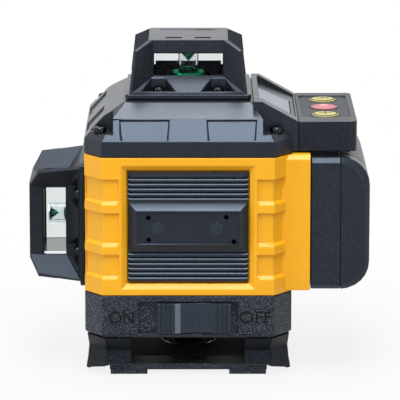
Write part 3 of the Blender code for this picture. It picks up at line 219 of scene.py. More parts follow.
def turned_metal(name, base, dark, rough, mark):
    """Machined metal: fine tool marks, a little darker in the marks.

    Real marks are 0.1 mm apart or less, too fine for the render, so they are drawn at 0.3 mm or coarser.
    """
    material, tree, shader, place = blank(name)
    marks = put(tree, "ShaderNodeTexNoise", {"Scale": 1 / (mark * MM), "Detail": 3.0}, {"Vector": place})
    colour = put(
        tree,
        "ShaderNodeMix",
        {"A": tint(dark), "B": tint(base)},
        {"Factor": marks.outputs["Fac"]},
        data_type="RGBA",
    )
    sheen = put(
        tree,
        "ShaderNodeMapRange",
        {"To Min": rough * 0.7, "To Max": rough * 1.3},
        {"Value": marks.outputs["Fac"]},
    )
    bump = put(
        tree,
        "ShaderNodeBump",
        {"Strength": 0.3, "Distance": MARK_DEPTH * MM},
        {"Height": marks.outputs["Fac"]},
    )
    skin(tree, shader, colour, sheen, bump)
    shader.inputs["Metallic"].default_value = 1.0
    return material


# Size of the smears that wiping leaves.
WIPE = 6.0


def optical_glass(name, base, edge, rough, ior, clearness, mirror=0.0):
    """Polished glass with a coating, and the faint unevenness of a wiped surface."""
    material, tree, shader, place = blank(name)
    wipe = put(tree, "ShaderNodeTexNoise", {"Scale": 1 / (WIPE * MM), "Detail": 3.0}, {"Vector": place})
    sheen = put(
        tree,
        "ShaderNodeMapRange",
        {"To Min": rough * 0.5, "To Max": rough * 1.5},
        {"Value": wipe.outputs["Fac"]},
    )
    tree.links.new(sheen.outputs["Result"], shader.inputs["Roughness"])
    shader.inputs["Base Color"].default_value = tint(base)
    shader.inputs["Transmission Weight"].default_value = clearness
    shader.inputs["IOR"].default_value = ior
    shader.inputs["Metallic"].default_value = mirror
    shader.inputs["Specular Tint"].default_value = tint(edge)
    return material


# Yellow ABS with a satin skin: one even, warm colour with soft highlights along the edges.
yellow_abs = moulded(
    "yellow_moulded_abs", "EDA912", "F2B220", grit=0.45, depth=0.03, rough=0.36, spread=0.06, specular=0.34
)
# Finely spark-eroded ABS on the cover, the battery and the top head: near black, with a satin sheen.
fine_black = black_abs(
    "black_fine_spark_abs", "15161A", "393E47", grit=0.55, depth=0.035, rough=0.28, spread=0.04, specular=0.38
)
# Coarsely spark-eroded ABS on the base: pale specks, painted glints off the grit, stand out on black.
coarse_black = black_abs(
    "black_coarse_spark_abs",
    "14161A",
    "9CA3AE",
    grit=0.42,
    depth=0.16,
    rough=0.42,
    spread=0.06,
    share=0.7,
    specks=(0.53, 0.72),
    specular=0.34,
)
# Smooth ABS on the front panel: an even black, on which the ribs show as clean pale lines.
smooth_black = black_abs(
    "black_smooth_abs", "16181D", "23272D", grit=0.5, depth=0.012, rough=0.27, spread=0.04, specular=0.42
)
# The keypad block and the side heads are spark-eroded finer, which dulls what they mirror at a low angle.
dull_black = black_abs(
    "black_dull_abs", "15161A", "393E47", grit=0.5, depth=0.03, rough=0.36, spread=0.04, specular=0.25
)
# The foot has the base's grit, painted darker than the base as shade under the base's overhang.
foot_shade_black = black_abs(
    "black_grit_abs_painted_shade",
    "0A0B0D",
    "4C525B",
    grit=0.42,
    depth=0.12,
    rough=0.45,
    spread=0.06,
    share=0.6,
    specks=(0.52, 0.72),
    specular=0.15,
)
# The floor of the foot is painted paler than the rest of the foot, as painted light against the shadow of the
# base over it, and dull, with almost no shine.
foot_floor_light_black = moulded(
    "black_foot_floor_painted_light",
    "3A383A",
    "6A696C",
    grit=0.42,
    depth=0.1,
    rough=0.7,
    spread=0.05,
    share=0.6,
    specular=0.03,
)
# The knob is the palest of the black mouldings, with a finer grit than the base round it.
knob_black = black_abs(
    "black_satin_knob_abs", "1E2228", "3C434E", grit=0.5, depth=0.02, rough=0.32, spread=0.04, specular=0.42
)
# The left side of the knob's thumb dish is painted as one pale strip: a painted highlight.
dish_highlight_grey = black_abs(
    "knob_dish_painted_highlight", "5A6068", "7A818A", grit=0.5, depth=0.02, rough=0.3, spread=0.04
)
# The field round the keys is sunk and left coarser from the mould, so it looks darker than its rim.
field_black = black_abs(
    "black_keypad_field", "15171B", "33373F", grit=0.45, depth=0.05, rough=0.5, spread=0.05, specular=0.32
)
# The raised words are polished in the mould, so they stand smooth on the grit, and painted darker than the
# base as shade along their strokes.
word_shade_black = moulded(
    "black_polished_words_painted_shade", "060708", "0B0C0E", grit=0.5, depth=0.01, rough=0.35, spread=0.04, specular=0.15
)
# Near-black matt with no shine, painted as shade inside the heads, in the slots of their caps and in the
# panel's small holes.
matt_shade_black = moulded(
    "matt_black_painted_shade", "120E0E", "1C1717", grit=0.8, depth=0.02, rough=0.85, spread=0.05, specular=0.0
)
# Plain moulded ABS on the hidden carriers: a flat dark grey.
grey_abs = moulded("dark_grey_abs", "33363B", "42464C", grit=0.6, depth=0.05, rough=0.5, spread=0.05)
# Epoxy board under a solder mask: a glossy, slightly clouded green.
board_resin = moulded(
    "solder_masked_board", "1B5234", "2B6B45", grit=0.8, depth=0.02, rough=0.35, spread=0.05
)
# The display is off, and its polarising film shows an even blue-grey with a weak gloss.
display_film = moulded(
    "display_film", "70727E", "7C7E89", grit=3.0, depth=0.01, rough=0.3, spread=0.05, specular=0.2
)
# Silicone rubber keys: milky, washed-out colours without a sharp highlight.
yellow_rubber = moulded(
    "yellow_silicone_key", "9C955C", "A8A26A", grit=0.5, depth=0.03, rough=0.55, spread=0.05
)
red_rubber = moulded(
    "red_silicone_key", "A0585F", "AE6C72", grit=0.5, depth=0.03, rough=0.55, spread=0.05
)
# Screen print on the keys: dark olive ink on the yellow ones, milky ink on the red one.
dark_ink = moulded(
    "olive_screen_ink", "3C3714", "4A4418", grit=0.4, depth=0.01, rough=0.6, spread=0.05, specular=0.2
)
pale_ink = moulded(
    "milky_screen_ink", "D8A8AC", "E2B8BC", grit=0.4, depth=0.01, rough=0.6, spread=0.05, specular=0.2
)
# Shrunk PVC sleeve on the cells: a smooth, glossy blue.
cell_film = moulded("shrink_wrap_blue", "2F5F90", "4A7AA8", grit=1.0, depth=0.02, rough=0.3, spread=0.04)
# Turned brass: warm, with darker tool marks.
brass = turned_metal("turned_brass", "B8924A", "8F6C30", rough=0.32, mark=0.4)
# Nickel-plated steel: bright and cool.
steel = turned_metal("plated_steel", "B9BCC0", "8C9096", rough=0.28, mark=0.3)
# Blackened steel screws: dark, but with a sharp metal glint.
black_steel = turned_metal("black_oxide_steel", "34363A", "17181B", rough=0.16, mark=0.4)
# Machined aluminium: pale, with a broad soft sheen.
aluminium = turned_metal("machined_aluminium", "C2C5C8", "A4A8AC", rough=0.35, mark=0.4)
# Polished metal on the cones: a clear mirror.
mirror_metal = turned_metal("polished_mirror", "E4E6E8", "D2D5D8", rough=0.08, mark=1.0)
# Bloomed optical glass throws back little light; the lens coating mirrors green alone.
window_glass = optical_glass("bloomed_optical_glass", "EEF1F1", "50565E", rough=0.02, ior=1.5, clearness=1.0)
lens_glass = optical_glass(
    "coated_green_lens", "0B7A56", "44C098", rough=0.12, ior=1.6, clearness=0.0, mirror=0.9
)


def coat(obj, material):
    """Gives the whole piece one finish."""
    obj.data.materials.clear()
    obj.data.materials.append(material)


finishes = {
    yellow_abs: ("body_shell",),
    fine_black: ("top_cover", "battery_case", "battery_end_cap", "top_head_frame"),
    dull_black: ("control_block", "left_head_frame", "rear_head_frame"),
    foot_shade_black: ("foot_frame",),
    knob_black: ("switch_knob",),
    coarse_black: ("base_housing",),
    smooth_black: ("front_panel",),
    grey_abs: ("lock_yoke", "chassis", "terminal_block"),
    board_resin: ("main_board", "keypad_board"),
    display_film: ("lcd_window",),
    yellow_rubber: ("button_lines", "button_dim"),
    red_rubber: ("button_power",),
    cell_film: ("battery_cell_*",),
    brass: ("tripod_insert", "counterweight", "trim_weight_*"),
    aluminium: ("gimbal_ring", "pendulum_frame", "*_laser_barrel"),
    steel: ("bearing*", "gimbal_pin*", "pendulum_pin*", "damping*"),
    black_steel: ("cover_screw*",),
    window_glass: ("*_glass", "*_glass_tube", "lower_window"),
    lens_glass: ("*_lens",),
    mirror_metal: ("*_cone_mirror",),
}
for name, node in nodes.items():
    for material, patterns in finishes.items():
        if any(fnmatch(name, pattern) for pattern in patterns):
            coat(node, material)


# ---------------------------------------------------------------- tools of the workbench


def hold(obj):
    """Makes this the only selected object."""
    bpy.ops.object.select_all(action="DESELECT")
    obj.select_set(True)
    bpy.context.view_layer.objects.active = obj


def start_from(add, **sizes):
    """Adds a primitive or a text to start from, with nothing else selected."""
    bpy.ops.object.select_all(action="DESELECT")
    add(**sizes)
    return bpy.context.object


def clear_marks(piece, kind):
    """Readies a piece for edges or faces to be marked in code, with none marked yet."""
    hold(piece)
    bpy.ops.object.mode_set(mode="EDIT")
    bpy.ops.mesh.select_mode(type=kind)
    bpy.ops.mesh.select_all(action="DESELECT")
    bpy.ops.object.mode_set(mode="OBJECT")


def close_up(piece):
    """Merges points that have come to lie together, and drops the slivers between them."""
    hold(piece)
    bpy.ops.object.mode_set(mode="EDIT")
    bpy.ops.mesh.select_all(action="SELECT")
    bpy.ops.mesh.remove_doubles(threshold=MERGE * MM)
    bpy.ops.mesh.dissolve_degenerate(threshold=SLIVER * MM)
    bpy.ops.object.mode_set(mode="OBJECT")


def cut_away(piece, cutter):
    """Takes one closed cutter out of the piece, and the cutter out of the scene."""
    hold(piece)
    notch = piece.modifiers.new("cut", "BOOLEAN")
    notch.operation = "DIFFERENCE"
    notch.solver = "EXACT"
    notch.object = cutter
    bpy.ops.object.modifier_apply(modifier=notch.name)
    bpy.data.objects.remove(cutter)


def cut_block(piece, size, where):
    """Takes a straight-sided block out of the piece."""
    cutter = start_from(bpy.ops.mesh.primitive_cube_add, size=1)
    cutter.scale = [side * MM for side in size]
    bpy.ops.object.transform_apply(scale=True)
    cutter.data.transform(where)
    cut_away(piece, cutter)


def pull(piece, axis, level, shift):
    """Moves the points of one flat end, to close a fitting gap that light would show through."""
    for point in piece.data.vertices:
        if abs(point.co[axis] - level) < NEAR * MM:
            point.co[axis] += shift * MM


def paint(piece, material, chosen):
    """Gives the chosen faces of a piece a finish of their own."""
    piece.data.materials.append(material)
    index = len(piece.data.materials) - 1
    for face in piece.data.polygons:
        if chosen(face):
            face.material_index = index


def lay(pattern, name, where, body, slot, replaced=None):
    """A copy of a finished pattern piece, with its own mesh and its place in the mesh."""
    copy = bpy.data.objects.new(name, pattern.data.copy())
    copy.data.transform(where)
    bpy.context.scene.collection.objects.link(copy)
    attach(copy, body)
    if replaced:
        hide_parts(replaced)
    return copy


def merged_copy(node, name):
    """The node's mesh as a new piece, with its loose triangles merged into flat faces."""
    piece = bpy.data.objects.new(name, nodes[node].data.copy())
    bpy.context.scene.collection.objects.link(piece)
    hold(piece)
    bpy.ops.object.mode_set(mode="EDIT")
    bpy.ops.mesh.select_all(action="SELECT")
    bpy.ops.mesh.remove_doubles(threshold=MERGE * MM)
    bpy.ops.mesh.tris_convert_to_quads(face_threshold=math.radians(3), shape_threshold=math.radians(180))
    bpy.ops.object.mode_set(mode="OBJECT")
    return piece


def break_edges(piece, width, shortest, sharp=28.0, segments=3, smooth=14.0, wanted=None):
    """Rounds the outer edges as the mould does: long convex ones, and only where wanted says so."""
    clear_marks(piece, "EDGE")
    mesh = piece.data
    sides = {}
    for face in mesh.polygons:
        for key in face.edge_keys:
            sides.setdefault(key, []).append(face)
    for edge in mesh.edges:
        faces = sides.get(tuple(sorted(edge.vertices)), [])
        if len(faces) != 2:
            continue
        start, end = (mesh.vertices[i].co for i in edge.vertices)
        first, second = faces
        turn = first.normal.angle(second.normal, 0.0)
        convex = (second.center - first.center).dot(first.normal) < 0
        long_enough = (end - start).length >= shortest * MM
        if turn > math.radians(sharp) and convex and long_enough:
            edge.select = wanted is None or wanted((start + end) / 2, end - start)
    bpy.ops.object.mode_set(mode="EDIT")
    bpy.ops.mesh.bevel(
        offset=width * MM,
        offset_type="OFFSET",
        segments=segments,
        affect="EDGES",
        clamp_overlap=False,
        loop_slide=False,
    )
    bpy.ops.object.mode_set(mode="OBJECT")
    bpy.ops.object.shade_smooth_by_angle(angle=math.radians(smooth))
    level = piece.modifiers.new("level_faces", "WEIGHTED_NORMAL")
    level.keep_sharp = True
    level.weight = 100
    bpy.ops.object.modifier_apply(modifier=level.name)


def dress(node, body, slot, width, shortest, shapes=(), **choices):
    """Stands in for a CAD node with the same form and moulded, broken edges, inside the CAD box."""
    piece = merged_copy(node, node + "_moulded")
    for shape in shapes:
        shape(piece)
    break_edges(piece, width, shortest, **choices)
    for point in piece.data.vertices:
        point.co = [min(max(c, low), high) for c, low, high in zip(point.co, cad_low, cad_high)]
    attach(piece, body)
    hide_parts(node)
    return piece


# ---------------------------------------------------------------- shell

# Depth of the floor of the panel's pocket, and how far its sloping wall is cut short before it.
POCKET_FLOOR, POCKET_EASE = -38.9, 2.1
# Floor of a corner pocket in plan, from its side end to its front end.
CORNER_SIDE, CORNER_FRONT = Vector((37.3, 34.0)), Vector((31.2, 42.0))
# Heights between which a cover screw's boss shows in that floor, and the least and most that it stands out.
BOSS_LOW, BOSS_HIGH, BULGE_LEAST, BULGE_MOST = 70.7, 74.65, 0.01, 0.8


def trim_bosses(piece):
    """Brings the screw bosses back to the floors of the corner pockets, where they bulge through."""
    out = Vector((CORNER_FRONT.y - CORNER_SIDE.y, CORNER_SIDE.x - CORNER_FRONT.x)).normalized()
    for point in piece.data.vertices:
        place = spot(point.co)
        past = (Vector((abs(place.x), abs(place.y))) - CORNER_SIDE).dot(out)
        if BOSS_LOW < place.z < BOSS_HIGH and BULGE_LEAST < past < BULGE_MOST:
            point.co.x -= math.copysign(past * out.x * MM, place.x)
            point.co.y -= math.copysign(past * out.y * MM, place.y)
    close_up(piece)


def ease_pocket(piece):
    """Makes the sloping wall round the front panel shallower, with a straight step behind it."""
    clear_marks(piece, "FACE")
    for face in piece.data.polygons:
        face.select = abs(spot(face.center).y - POCKET_FLOOR) < NEAR and face.normal.y < -STRAIGHT
    bpy.ops.object.mode_set(mode="EDIT")
    bpy.ops.transform.translate(value=(0, -POCKET_EASE * MM, 0))
    bpy.ops.mesh.extrude_region_move(TRANSFORM_OT_translate={"value": (0, POCKET_EASE * MM, 0)})
    bpy.ops.object.mode_set(mode="OBJECT")


dress("body_shell", "housing", "yellow_shell", width=0.35, shortest=1.6, shapes=(trim_bosses, ease_pocket))


# ---------------------------------------------------------------- base, cover, keypad block, foot and knob

dress("base_housing", "housing", "black_plastic", width=0.35, shortest=2.0)
dress("top_cover", "housing", "black_plastic", width=0.30, shortest=2.0, sharp=18.0)

# The keypad block reaches left to the cover, and a sunk field lies round its keys.
BLOCK_REACH = 0.27
FIELD_CENTRE, FIELD_HALF = (51.05, -0.2), (8.7, 23.0)
block_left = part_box("control_block")[0].x


def in_the_field(face):
    """Picks the sunk faces between the keys."""
    place = spot(face.center)
    inside = all(abs(place[i] - FIELD_CENTRE[i]) < FIELD_HALF[i] for i in (0, 1))
    return inside and face.normal.z > STRAIGHT


block = dress(
    "control_block",
    "housing",
    "black_plastic",
    width=0.45,
    shortest=1.2,
    shapes=(lambda piece: pull(piece, 0, block_left, -BLOCK_REACH),),
    smooth=32.0,
)
paint(block, field_black, in_the_field)

# The foot's lowest front edge keeps the base's grit without the foot's painted shade; its floor lies in the
# dark under the base and gets painted light.
FOOT_EDGE, FOOT_FLOOR_HALF = 5.0, 30.0
# How far a face looks forward or up to belong to the one or the other.
EDGE_FORWARD, FLOOR_UPWARD = 0.6, 0.3


def on_the_front_edge(face):
    """Picks the low faces that look forward."""
    return spot(face.center).z < FOOT_EDGE and face.normal.y < -EDGE_FORWARD


def on_the_floor(face):
    """Picks the faces between the legs that look up."""
    place = spot(face.center)
    inside = max(abs(place.x), abs(place.y)) < FOOT_FLOOR_HALF
    return inside and face.normal.z > FLOOR_UPWARD and not on_the_front_edge(face)


foot = dress("foot_frame", "housing", "black_plastic", width=0.30, shortest=2.0)
# Painted shade on the foot is left off its front edge, and its floor gets painted light.
paint(foot, coarse_black, on_the_front_edge)
paint(foot, foot_floor_light_black, on_the_floor)

# Where the left wall of the knob's thumb dish lies across the base, and how far it looks right and forward.
DISH_LEFT, DISH_RIGHT, DISH_SIDEWAYS, DISH_FORWARD = -5.2, -2.6, 0.15, 0.5


def on_the_dish_wall(face):
    """Picks the left wall of the thumb dish."""
    there = DISH_LEFT < spot(face.center).x < DISH_RIGHT
    return there and face.normal.x > DISH_SIDEWAYS and face.normal.y < -DISH_FORWARD


knob = dress("switch_knob", "switch", "black_plastic", width=0.35, shortest=1.0, smooth=32.0)
# Painted highlight: the dish's left wall is given a pale grey.
paint(knob, dish_highlight_grey, on_the_dish_wall)


# ---------------------------------------------------------------- prism heads


def seat(origin, across, along, out):
    """Frame of a head: where its seat lies, and which way its own axes run."""
    turn = Matrix((across, along, out)).transposed().to_4x4()
    return Matrix.Translation(origin) @ turn


# Where each head sits, and its axes: across, along and out.
head_seats = {
    "top": seat(at(0, 0, 101.1), X, Y, Z),
    "left": seat(at(-38.6, 0, 53.5), Z, Y, -X),
    "rear": seat(at(0, 43.3, 53.5), X, -Z, Y),
}
# Top of a head's cap over its seat, and the shallow recess in it.
CAP_LEVEL, RECESS_LEVEL, RECESS_LIFT, RECESS_HALF = 21.0, 20.6, 0.28, 11.0
# Slots in that recess: their size, and how far they lie from the middle of the cap.
SLOT_LENGTH, SLOT_WIDTH, SLOT_DEPTH = 6.1, 3.5, 1.4
SLOT_ACROSS, SLOT_ALONG = 5.4, -9.25
# Lip under a rear window: its level, where it starts, and how far it is raised.
LIP_LEVEL, LIP_FRONT, LIP_LIFT = 7.4, 13.0, 1.2
# Room inside a head's glass box, and how near a slot's floor its painted faces lie.
CAVITY_HALF, CAVITY_LOW, CAVITY_HIGH, SLOT_PAINT = 13.75, 5.2, 16.2, 0.75


def lift_level(piece, where, level, rise, behind=-math.inf):
    """Lifts the points of a head that lie at one level over its seat."""
    inward = where.inverted()
    lift = where.to_3x3() @ Vector((0, 0, rise * MM))
    for point in piece.data.vertices:
        place = inward @ point.co / MM
        if abs(place.z - level) < NEAR and place.y > behind:
            point.co += lift


def shape_head(piece, where, rear_lip):
    """Makes the cap's recess shallower and its slots larger, and raises the rear lip where it shows."""
    lift_level(piece, where, RECESS_LEVEL, RECESS_LIFT)
    if rear_lip:
        lift_level(piece, where, LIP_LEVEL, LIP_LIFT, behind=LIP_FRONT)
    for across in (-SLOT_ACROSS, SLOT_ACROSS):
        place = Matrix.Translation(Vector((across, SLOT_ALONG, CAP_LEVEL)) * MM)
        cut_block(piece, (SLOT_LENGTH, SLOT_WIDTH, 2 * SLOT_DEPTH), where @ place)


def off_the_recess(where):
    """Leaves the low steps on top of a head's cap crisp."""
    inward = where.inverted()

    def wanted(centre, run):
        place = inward @ centre / MM
        return place.z < CAP_LEVEL - 2 * SLOT_DEPTH or max(abs(place.x), abs(place.y)) > RECESS_HALF

    return wanted


def in_the_dark(where):
    """Picks the faces inside a head's glass box and in the slots of its cap."""
    inward = where.inverted()

    def chosen(face):
        place = inward @ face.center / MM
        aside = max(abs(place.x), abs(place.y))
        in_box = aside < CAVITY_HALF and CAVITY_LOW < place.z < CAVITY_HIGH
        in_slot = aside < RECESS_HALF and abs(place.z - CAP_LEVEL + SLOT_DEPTH) < SLOT_PAINT
        return in_box or in_slot

    return chosen


for side, where in head_seats.items():
    head = dress(
        side + "_head_frame",
        "housing",
        "black_plastic",
        width=0.30,
        shortest=2.0,
        shapes=(lambda piece: shape_head(piece, where, rear_lip=side == "top"),),
        sharp=18.0,
        wanted=off_the_recess(where),
    )
    # Painted shade: the glass box's insides and the cap's slots are given near-black matt.
    paint(head, matt_shade_black, in_the_dark(where))


# ---------------------------------------------------------------- battery pack

# How far the case reaches on to the seam, where the end cap starts past it, and how wide the seam is.
CASE_REACH, CAP_START, SEAM_WIDTH = 0.26, 0.3, 0.6
case_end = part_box("battery_case")[1].x
seam = (case_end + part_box("battery_end_cap")[0].x) / 2


def off_the_seam(centre, run):
    """Leaves the edges along the seam crisp."""
    return abs(centre.x - seam) > SEAM_WIDTH * MM


def square_seam(piece):
    """Brings the corners of the cap that reach past the seam back to it."""
    for point in piece.data.vertices:
        point.co.x = max(point.co.x, case_end + CAP_START * MM)
    close_up(piece)


for name, shape in (
    ("battery_case", lambda piece: pull(piece, 0, case_end, CASE_REACH)),
    ("battery_end_cap", square_seam),
):
    dress(
        name,
        "battery",
        "black_plastic",
        width=0.40,
        shortest=2.0,
        shapes=(shape,),
        wanted=off_the_seam,
        smooth=32.0,
    )


# ---------------------------------------------------------------- ribbed front panel

panel_low, panel_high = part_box("front_panel")
# How far the panel's frame stands before its ribs, and where the ribs lie from the panel's ends.
FRAME_RISE, RIB_PITCH, RIB_START, RIB_COUNT = 2.0, 1.8, 1.0, 6
# Depth and run of a rib's top in the CAD node, then as it leans here, and how near a point has to lie to it.
RIB_DEPTH, RIB_RUN, LIT_DEPTH, LIT_RUN, RIB_SLACK = 1.0, 0.7, 0.36, 0.44, 0.04
# Depth of the chamfer along the panel's upper edge in the CAD node, then as it leans here.
TOP_CHAMFER, TOP_DEPTH = 1.2, 0.6
# Small holes in the panel's recess: their places across and up, then how deep they lie and their size.
HOLES = ((-14.6, 60.5), (14.0, 60.7), (-14.5, 52.2), (16.8, 51.5))
HOLE_LEVEL, HOLE_RADIUS, HOLE_DEPTH, HOLE_SLACK = -43.0, 0.9, 2.4, 0.02
rib_face = panel_low.y + FRAME_RISE * MM
rib_levels = [panel_low.z + (RIB_START + RIB_PITCH * i) * MM for i in range(RIB_COUNT)]
rib_levels += [panel_high.z - (RIB_START + RIB_PITCH * i) * MM for i in range(1, RIB_COUNT)]
hole_places = [at(x, HOLE_LEVEL, z) for x, z in HOLES]


def lean_ribs(piece):
    """Leans the rib tops and the upper edge forward, so that each shows as a pale line."""
    for point in piece.data.vertices:
        depth = (point.co.y - rib_face) / MM
        if abs(point.co.z - panel_high.z) < NEAR * MM and 2 * NEAR < depth < TOP_CHAMFER + NEAR:
            point.co.y = rib_face + depth * TOP_DEPTH / TOP_CHAMFER * MM
            continue
        share = depth / RIB_DEPTH
        for level in rib_levels:
            climb = (point.co.z - level) / MM
            if NEAR < share < 1 + NEAR and abs(climb - RIB_RUN * share) < RIB_SLACK:
                point.co.y = rib_face + LIT_DEPTH * share * MM
                point.co.z = level + LIT_RUN * share * MM
                break


def drill_recess(piece):
    """Drills the small holes into the panel's recess."""
    for place in hole_places:
        drill = start_from(
            bpy.ops.mesh.primitive_cylinder_add,
            vertices=24,
            radius=HOLE_RADIUS * MM,
            depth=HOLE_DEPTH * MM,
            location=place,
            rotation=(math.radians(90), 0, 0),
        )
        bpy.ops.object.transform_apply(location=True, rotation=True)
        cut_away(piece, drill)


def on_the_crest(centre, run):
    """Picks the edges across the foremost faces of the panel."""
    return centre.y < panel_low.y + NEAR * MM and abs(run.x) > STRAIGHT * run.length


def in_a_hole(face):
    """Picks the walls and floors of the small holes."""
    aside = [math.hypot(face.center.x - hole.x, face.center.z - hole.z) for hole in hole_places]
    return min(aside) < (HOLE_RADIUS + HOLE_SLACK) * MM


panel = dress(
    "front_panel",
    "housing",
    "black_plastic",
    width=0.25,
    shortest=3.0,
    shapes=(lean_ribs, drill_recess),
    segments=2,
    wanted=on_the_crest,
)
# Painted shade: the holes' walls and floors are given near-black matt.
paint(panel, matt_shade_black, in_a_hole)

PAD_RADIUS, PAD_THICK, PAD_ROUND = 2.8, 0.3, 0.08
PAD_HEIGHT = 56.2
PAD_PLACES = {"left": -11.0, "right": 10.4}
# The panel's recess is the foremost flat face near its middle that lies at least so far behind its crests.
SUNK_HALF, SUNK_LEAST, SUNK_FLAT = 12.0, 0.2, 0.99
sunk_faces = (
    face.center.y
    for face in panel.data.polygons
    if abs(spot(face.center).x) < SUNK_HALF
    and face.normal.y < -SUNK_FLAT
    and face.center.y > panel_low.y + SUNK_LEAST * MM
)
recess_face = min(sunk_faces, default=panel_low.y)


def hexagon_pad():
    """Low six-sided pad in the panel's recess, with a softened rim."""
    pad = start_from(
        bpy.ops.mesh.primitive_cylinder_add,
        vertices=6,
        radius=PAD_RADIUS * MM,
        depth=PAD_THICK * MM,
        rotation=(math.radians(90), 0, 0),
    )
    bpy.ops.object.transform_apply(rotation=True)
    bpy.ops.object.mode_set(mode="EDIT")
    bpy.ops.mesh.select_all(action="SELECT")
    bpy.ops.mesh.bevel(offset=PAD_ROUND * MM, segments=2, affect="EDGES")
    bpy.ops.object.mode_set(mode="OBJECT")
    bpy.ops.object.shade_smooth_by_angle(angle=math.radians(30))
    coat(pad, knob_black)
    return pad


pattern_pad = hexagon_pad()
for side, across in PAD_PLACES.items():
    place = Matrix.Translation((PLUMB.x + across * MM, recess_face, PAD_HEIGHT * MM))
    lay(pattern_pad, "label_pad_" + side, place, "housing", "black_plastic")
bpy.data.objects.remove(pattern_pad)


# ---------------------------------------------------------------- lenses

LENS_RADIUS, LENS_RIM, LENS_LEVEL = 6.0, 1.5, 5.3
# Rings of the lens from its rim inwards: share of the radius, and height over the rim.
LENS_PROFILE = (
    (0.97, 0.22),
    (0.92, 0.30),
    (0.87, 0.14),
    (0.80, 0.06),
    (0.70, 0.16),
    (0.60, 0.52),
    (0.50, 1.00),
    (0.38, 1.45),
    (0.25, 1.75),
    (0.10, 1.88),
)


def domed_lens():
    """Collimating lens: a disc drawn ring by ring into a beaded rim and a dome."""
    lens = start_from(
        bpy.ops.mesh.primitive_circle_add, vertices=64, radius=LENS_RADIUS * MM, fill_type="NGON"
    )
    bpy.ops.object.mode_set(mode="EDIT")
    bpy.ops.mesh.select_all(action="SELECT")
    bpy.ops.mesh.extrude_region_move(TRANSFORM_OT_translate={"value": (0, 0, LENS_RIM * MM)})
    radius, height = 1.0, 0.0
    for inner, level in LENS_PROFILE:
        bpy.ops.mesh.inset(thickness=LENS_RADIUS * (radius - inner) * MM, depth=(level - height) * MM)
        radius, height = inner, level
    bpy.ops.mesh.select_all(action="SELECT")
    bpy.ops.mesh.normals_make_consistent(inside=False)
    bpy.ops.object.mode_set(mode="OBJECT")
    bpy.ops.object.shade_smooth_by_angle(angle=math.radians(40))
    coat(lens, lens_glass)
    return lens


pattern_lens = domed_lens()
for side, where in head_seats.items():
    place = where @ Matrix.Translation((0, 0, LENS_LEVEL * MM))
    lay(pattern_lens, side + "_domed_lens", place, "pendulum", "green_lens", side + "_lens")
bpy.data.objects.remove(pattern_lens)


# ---------------------------------------------------------------- screws

SCREW_HEAD, SCREW_RISE, SCREW_ROUND = 2.25, 2.0, 0.9
CROSS_LENGTH, CROSS_WIDTH, CROSS_DEPTH = 2.6, 0.6, 1.1
# Places of a head's screws on its flange; each is turned a little further than the one before.
HEAD_SCREWS = ((-11, -18.3), (11, -18.3), (-11, 18.3), (11, 18.3))
FLANGE_LEVEL, FIRST_TURN, NEXT_TURN = 2.0, 20, 17
COVER_SCREW_GROWTH = 1.1


def cross_screw():
    """Pan-head screw: a turned disc with a rounded rim and a cross recess."""
    screw = start_from(
        bpy.ops.mesh.primitive_cylinder_add,
        vertices=32,
        radius=SCREW_HEAD * MM,
        depth=SCREW_RISE * MM,
        location=(0, 0, SCREW_RISE / 2 * MM),
    )
    bpy.ops.object.transform_apply(location=True)
    clear_marks(screw, "EDGE")
    for edge in screw.data.edges:
        edge.select = all(screw.data.vertices[i].co.z > (SCREW_RISE - NEAR) * MM for i in edge.vertices)
    bpy.ops.object.mode_set(mode="EDIT")
    bpy.ops.mesh.bevel(offset=SCREW_ROUND * MM, segments=5, affect="EDGES", clamp_overlap=False)
    bpy.ops.object.mode_set(mode="OBJECT")
    top = Matrix.Translation((0, 0, SCREW_RISE * MM))
    for turn in (0, 90):
        spin = Matrix.Rotation(math.radians(turn), 4, "Z")
        cut_block(screw, (CROSS_LENGTH, CROSS_WIDTH, 2 * CROSS_DEPTH), top @ spin)
    hold(screw)
    bpy.ops.object.shade_smooth_by_angle(angle=math.radians(35))
    coat(screw, black_steel)
    return screw


pattern_screw = cross_screw()
for side, where in head_seats.items():
    for number, (across, along) in enumerate(HEAD_SCREWS, 1):
        spin = Matrix.Rotation(math.radians(FIRST_TURN + NEXT_TURN * number), 4, "Z")
        shift = Matrix.Translation(Vector((across, along, FLANGE_LEVEL)) * MM)
        name = side + "_head_screw_" + str(number)
        lay(pattern_screw, name, where @ shift @ spin, "housing", "steel")
for corner in ("front_left", "front_right", "rear_left", "rear_right"):
    node = "cover_screw_" + corner
    place = middle(node)
    place.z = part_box(node)[1].z - SCREW_RISE * MM
    grow = Matrix.Diagonal((COVER_SCREW_GROWTH, COVER_SCREW_GROWTH, 1.0, 1.0))
    lay(
        pattern_screw,
        "cover_screw_head_" + corner,
        Matrix.Translation(place) @ grow,
        "housing",
        "steel",
        node,
    )
bpy.data.objects.remove(pattern_screw)


# ---------------------------------------------------------------- words beside the lock

WORD_LEVEL, WORD_HEIGHT, WORD_THICK = 23.0, 4.4, 0.5
# In letter heights: the body of a letter, and how far its strokes are thinner than the font draws them.
LETTER_BODY, LETTER_THIN = 0.03, 0.008
# Place of each word across the base, and its width.
WORDS = {"ON": (-24.6, 9.0), "OFF": (24.8, 11.6)}
base_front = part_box("base_housing")[0].y


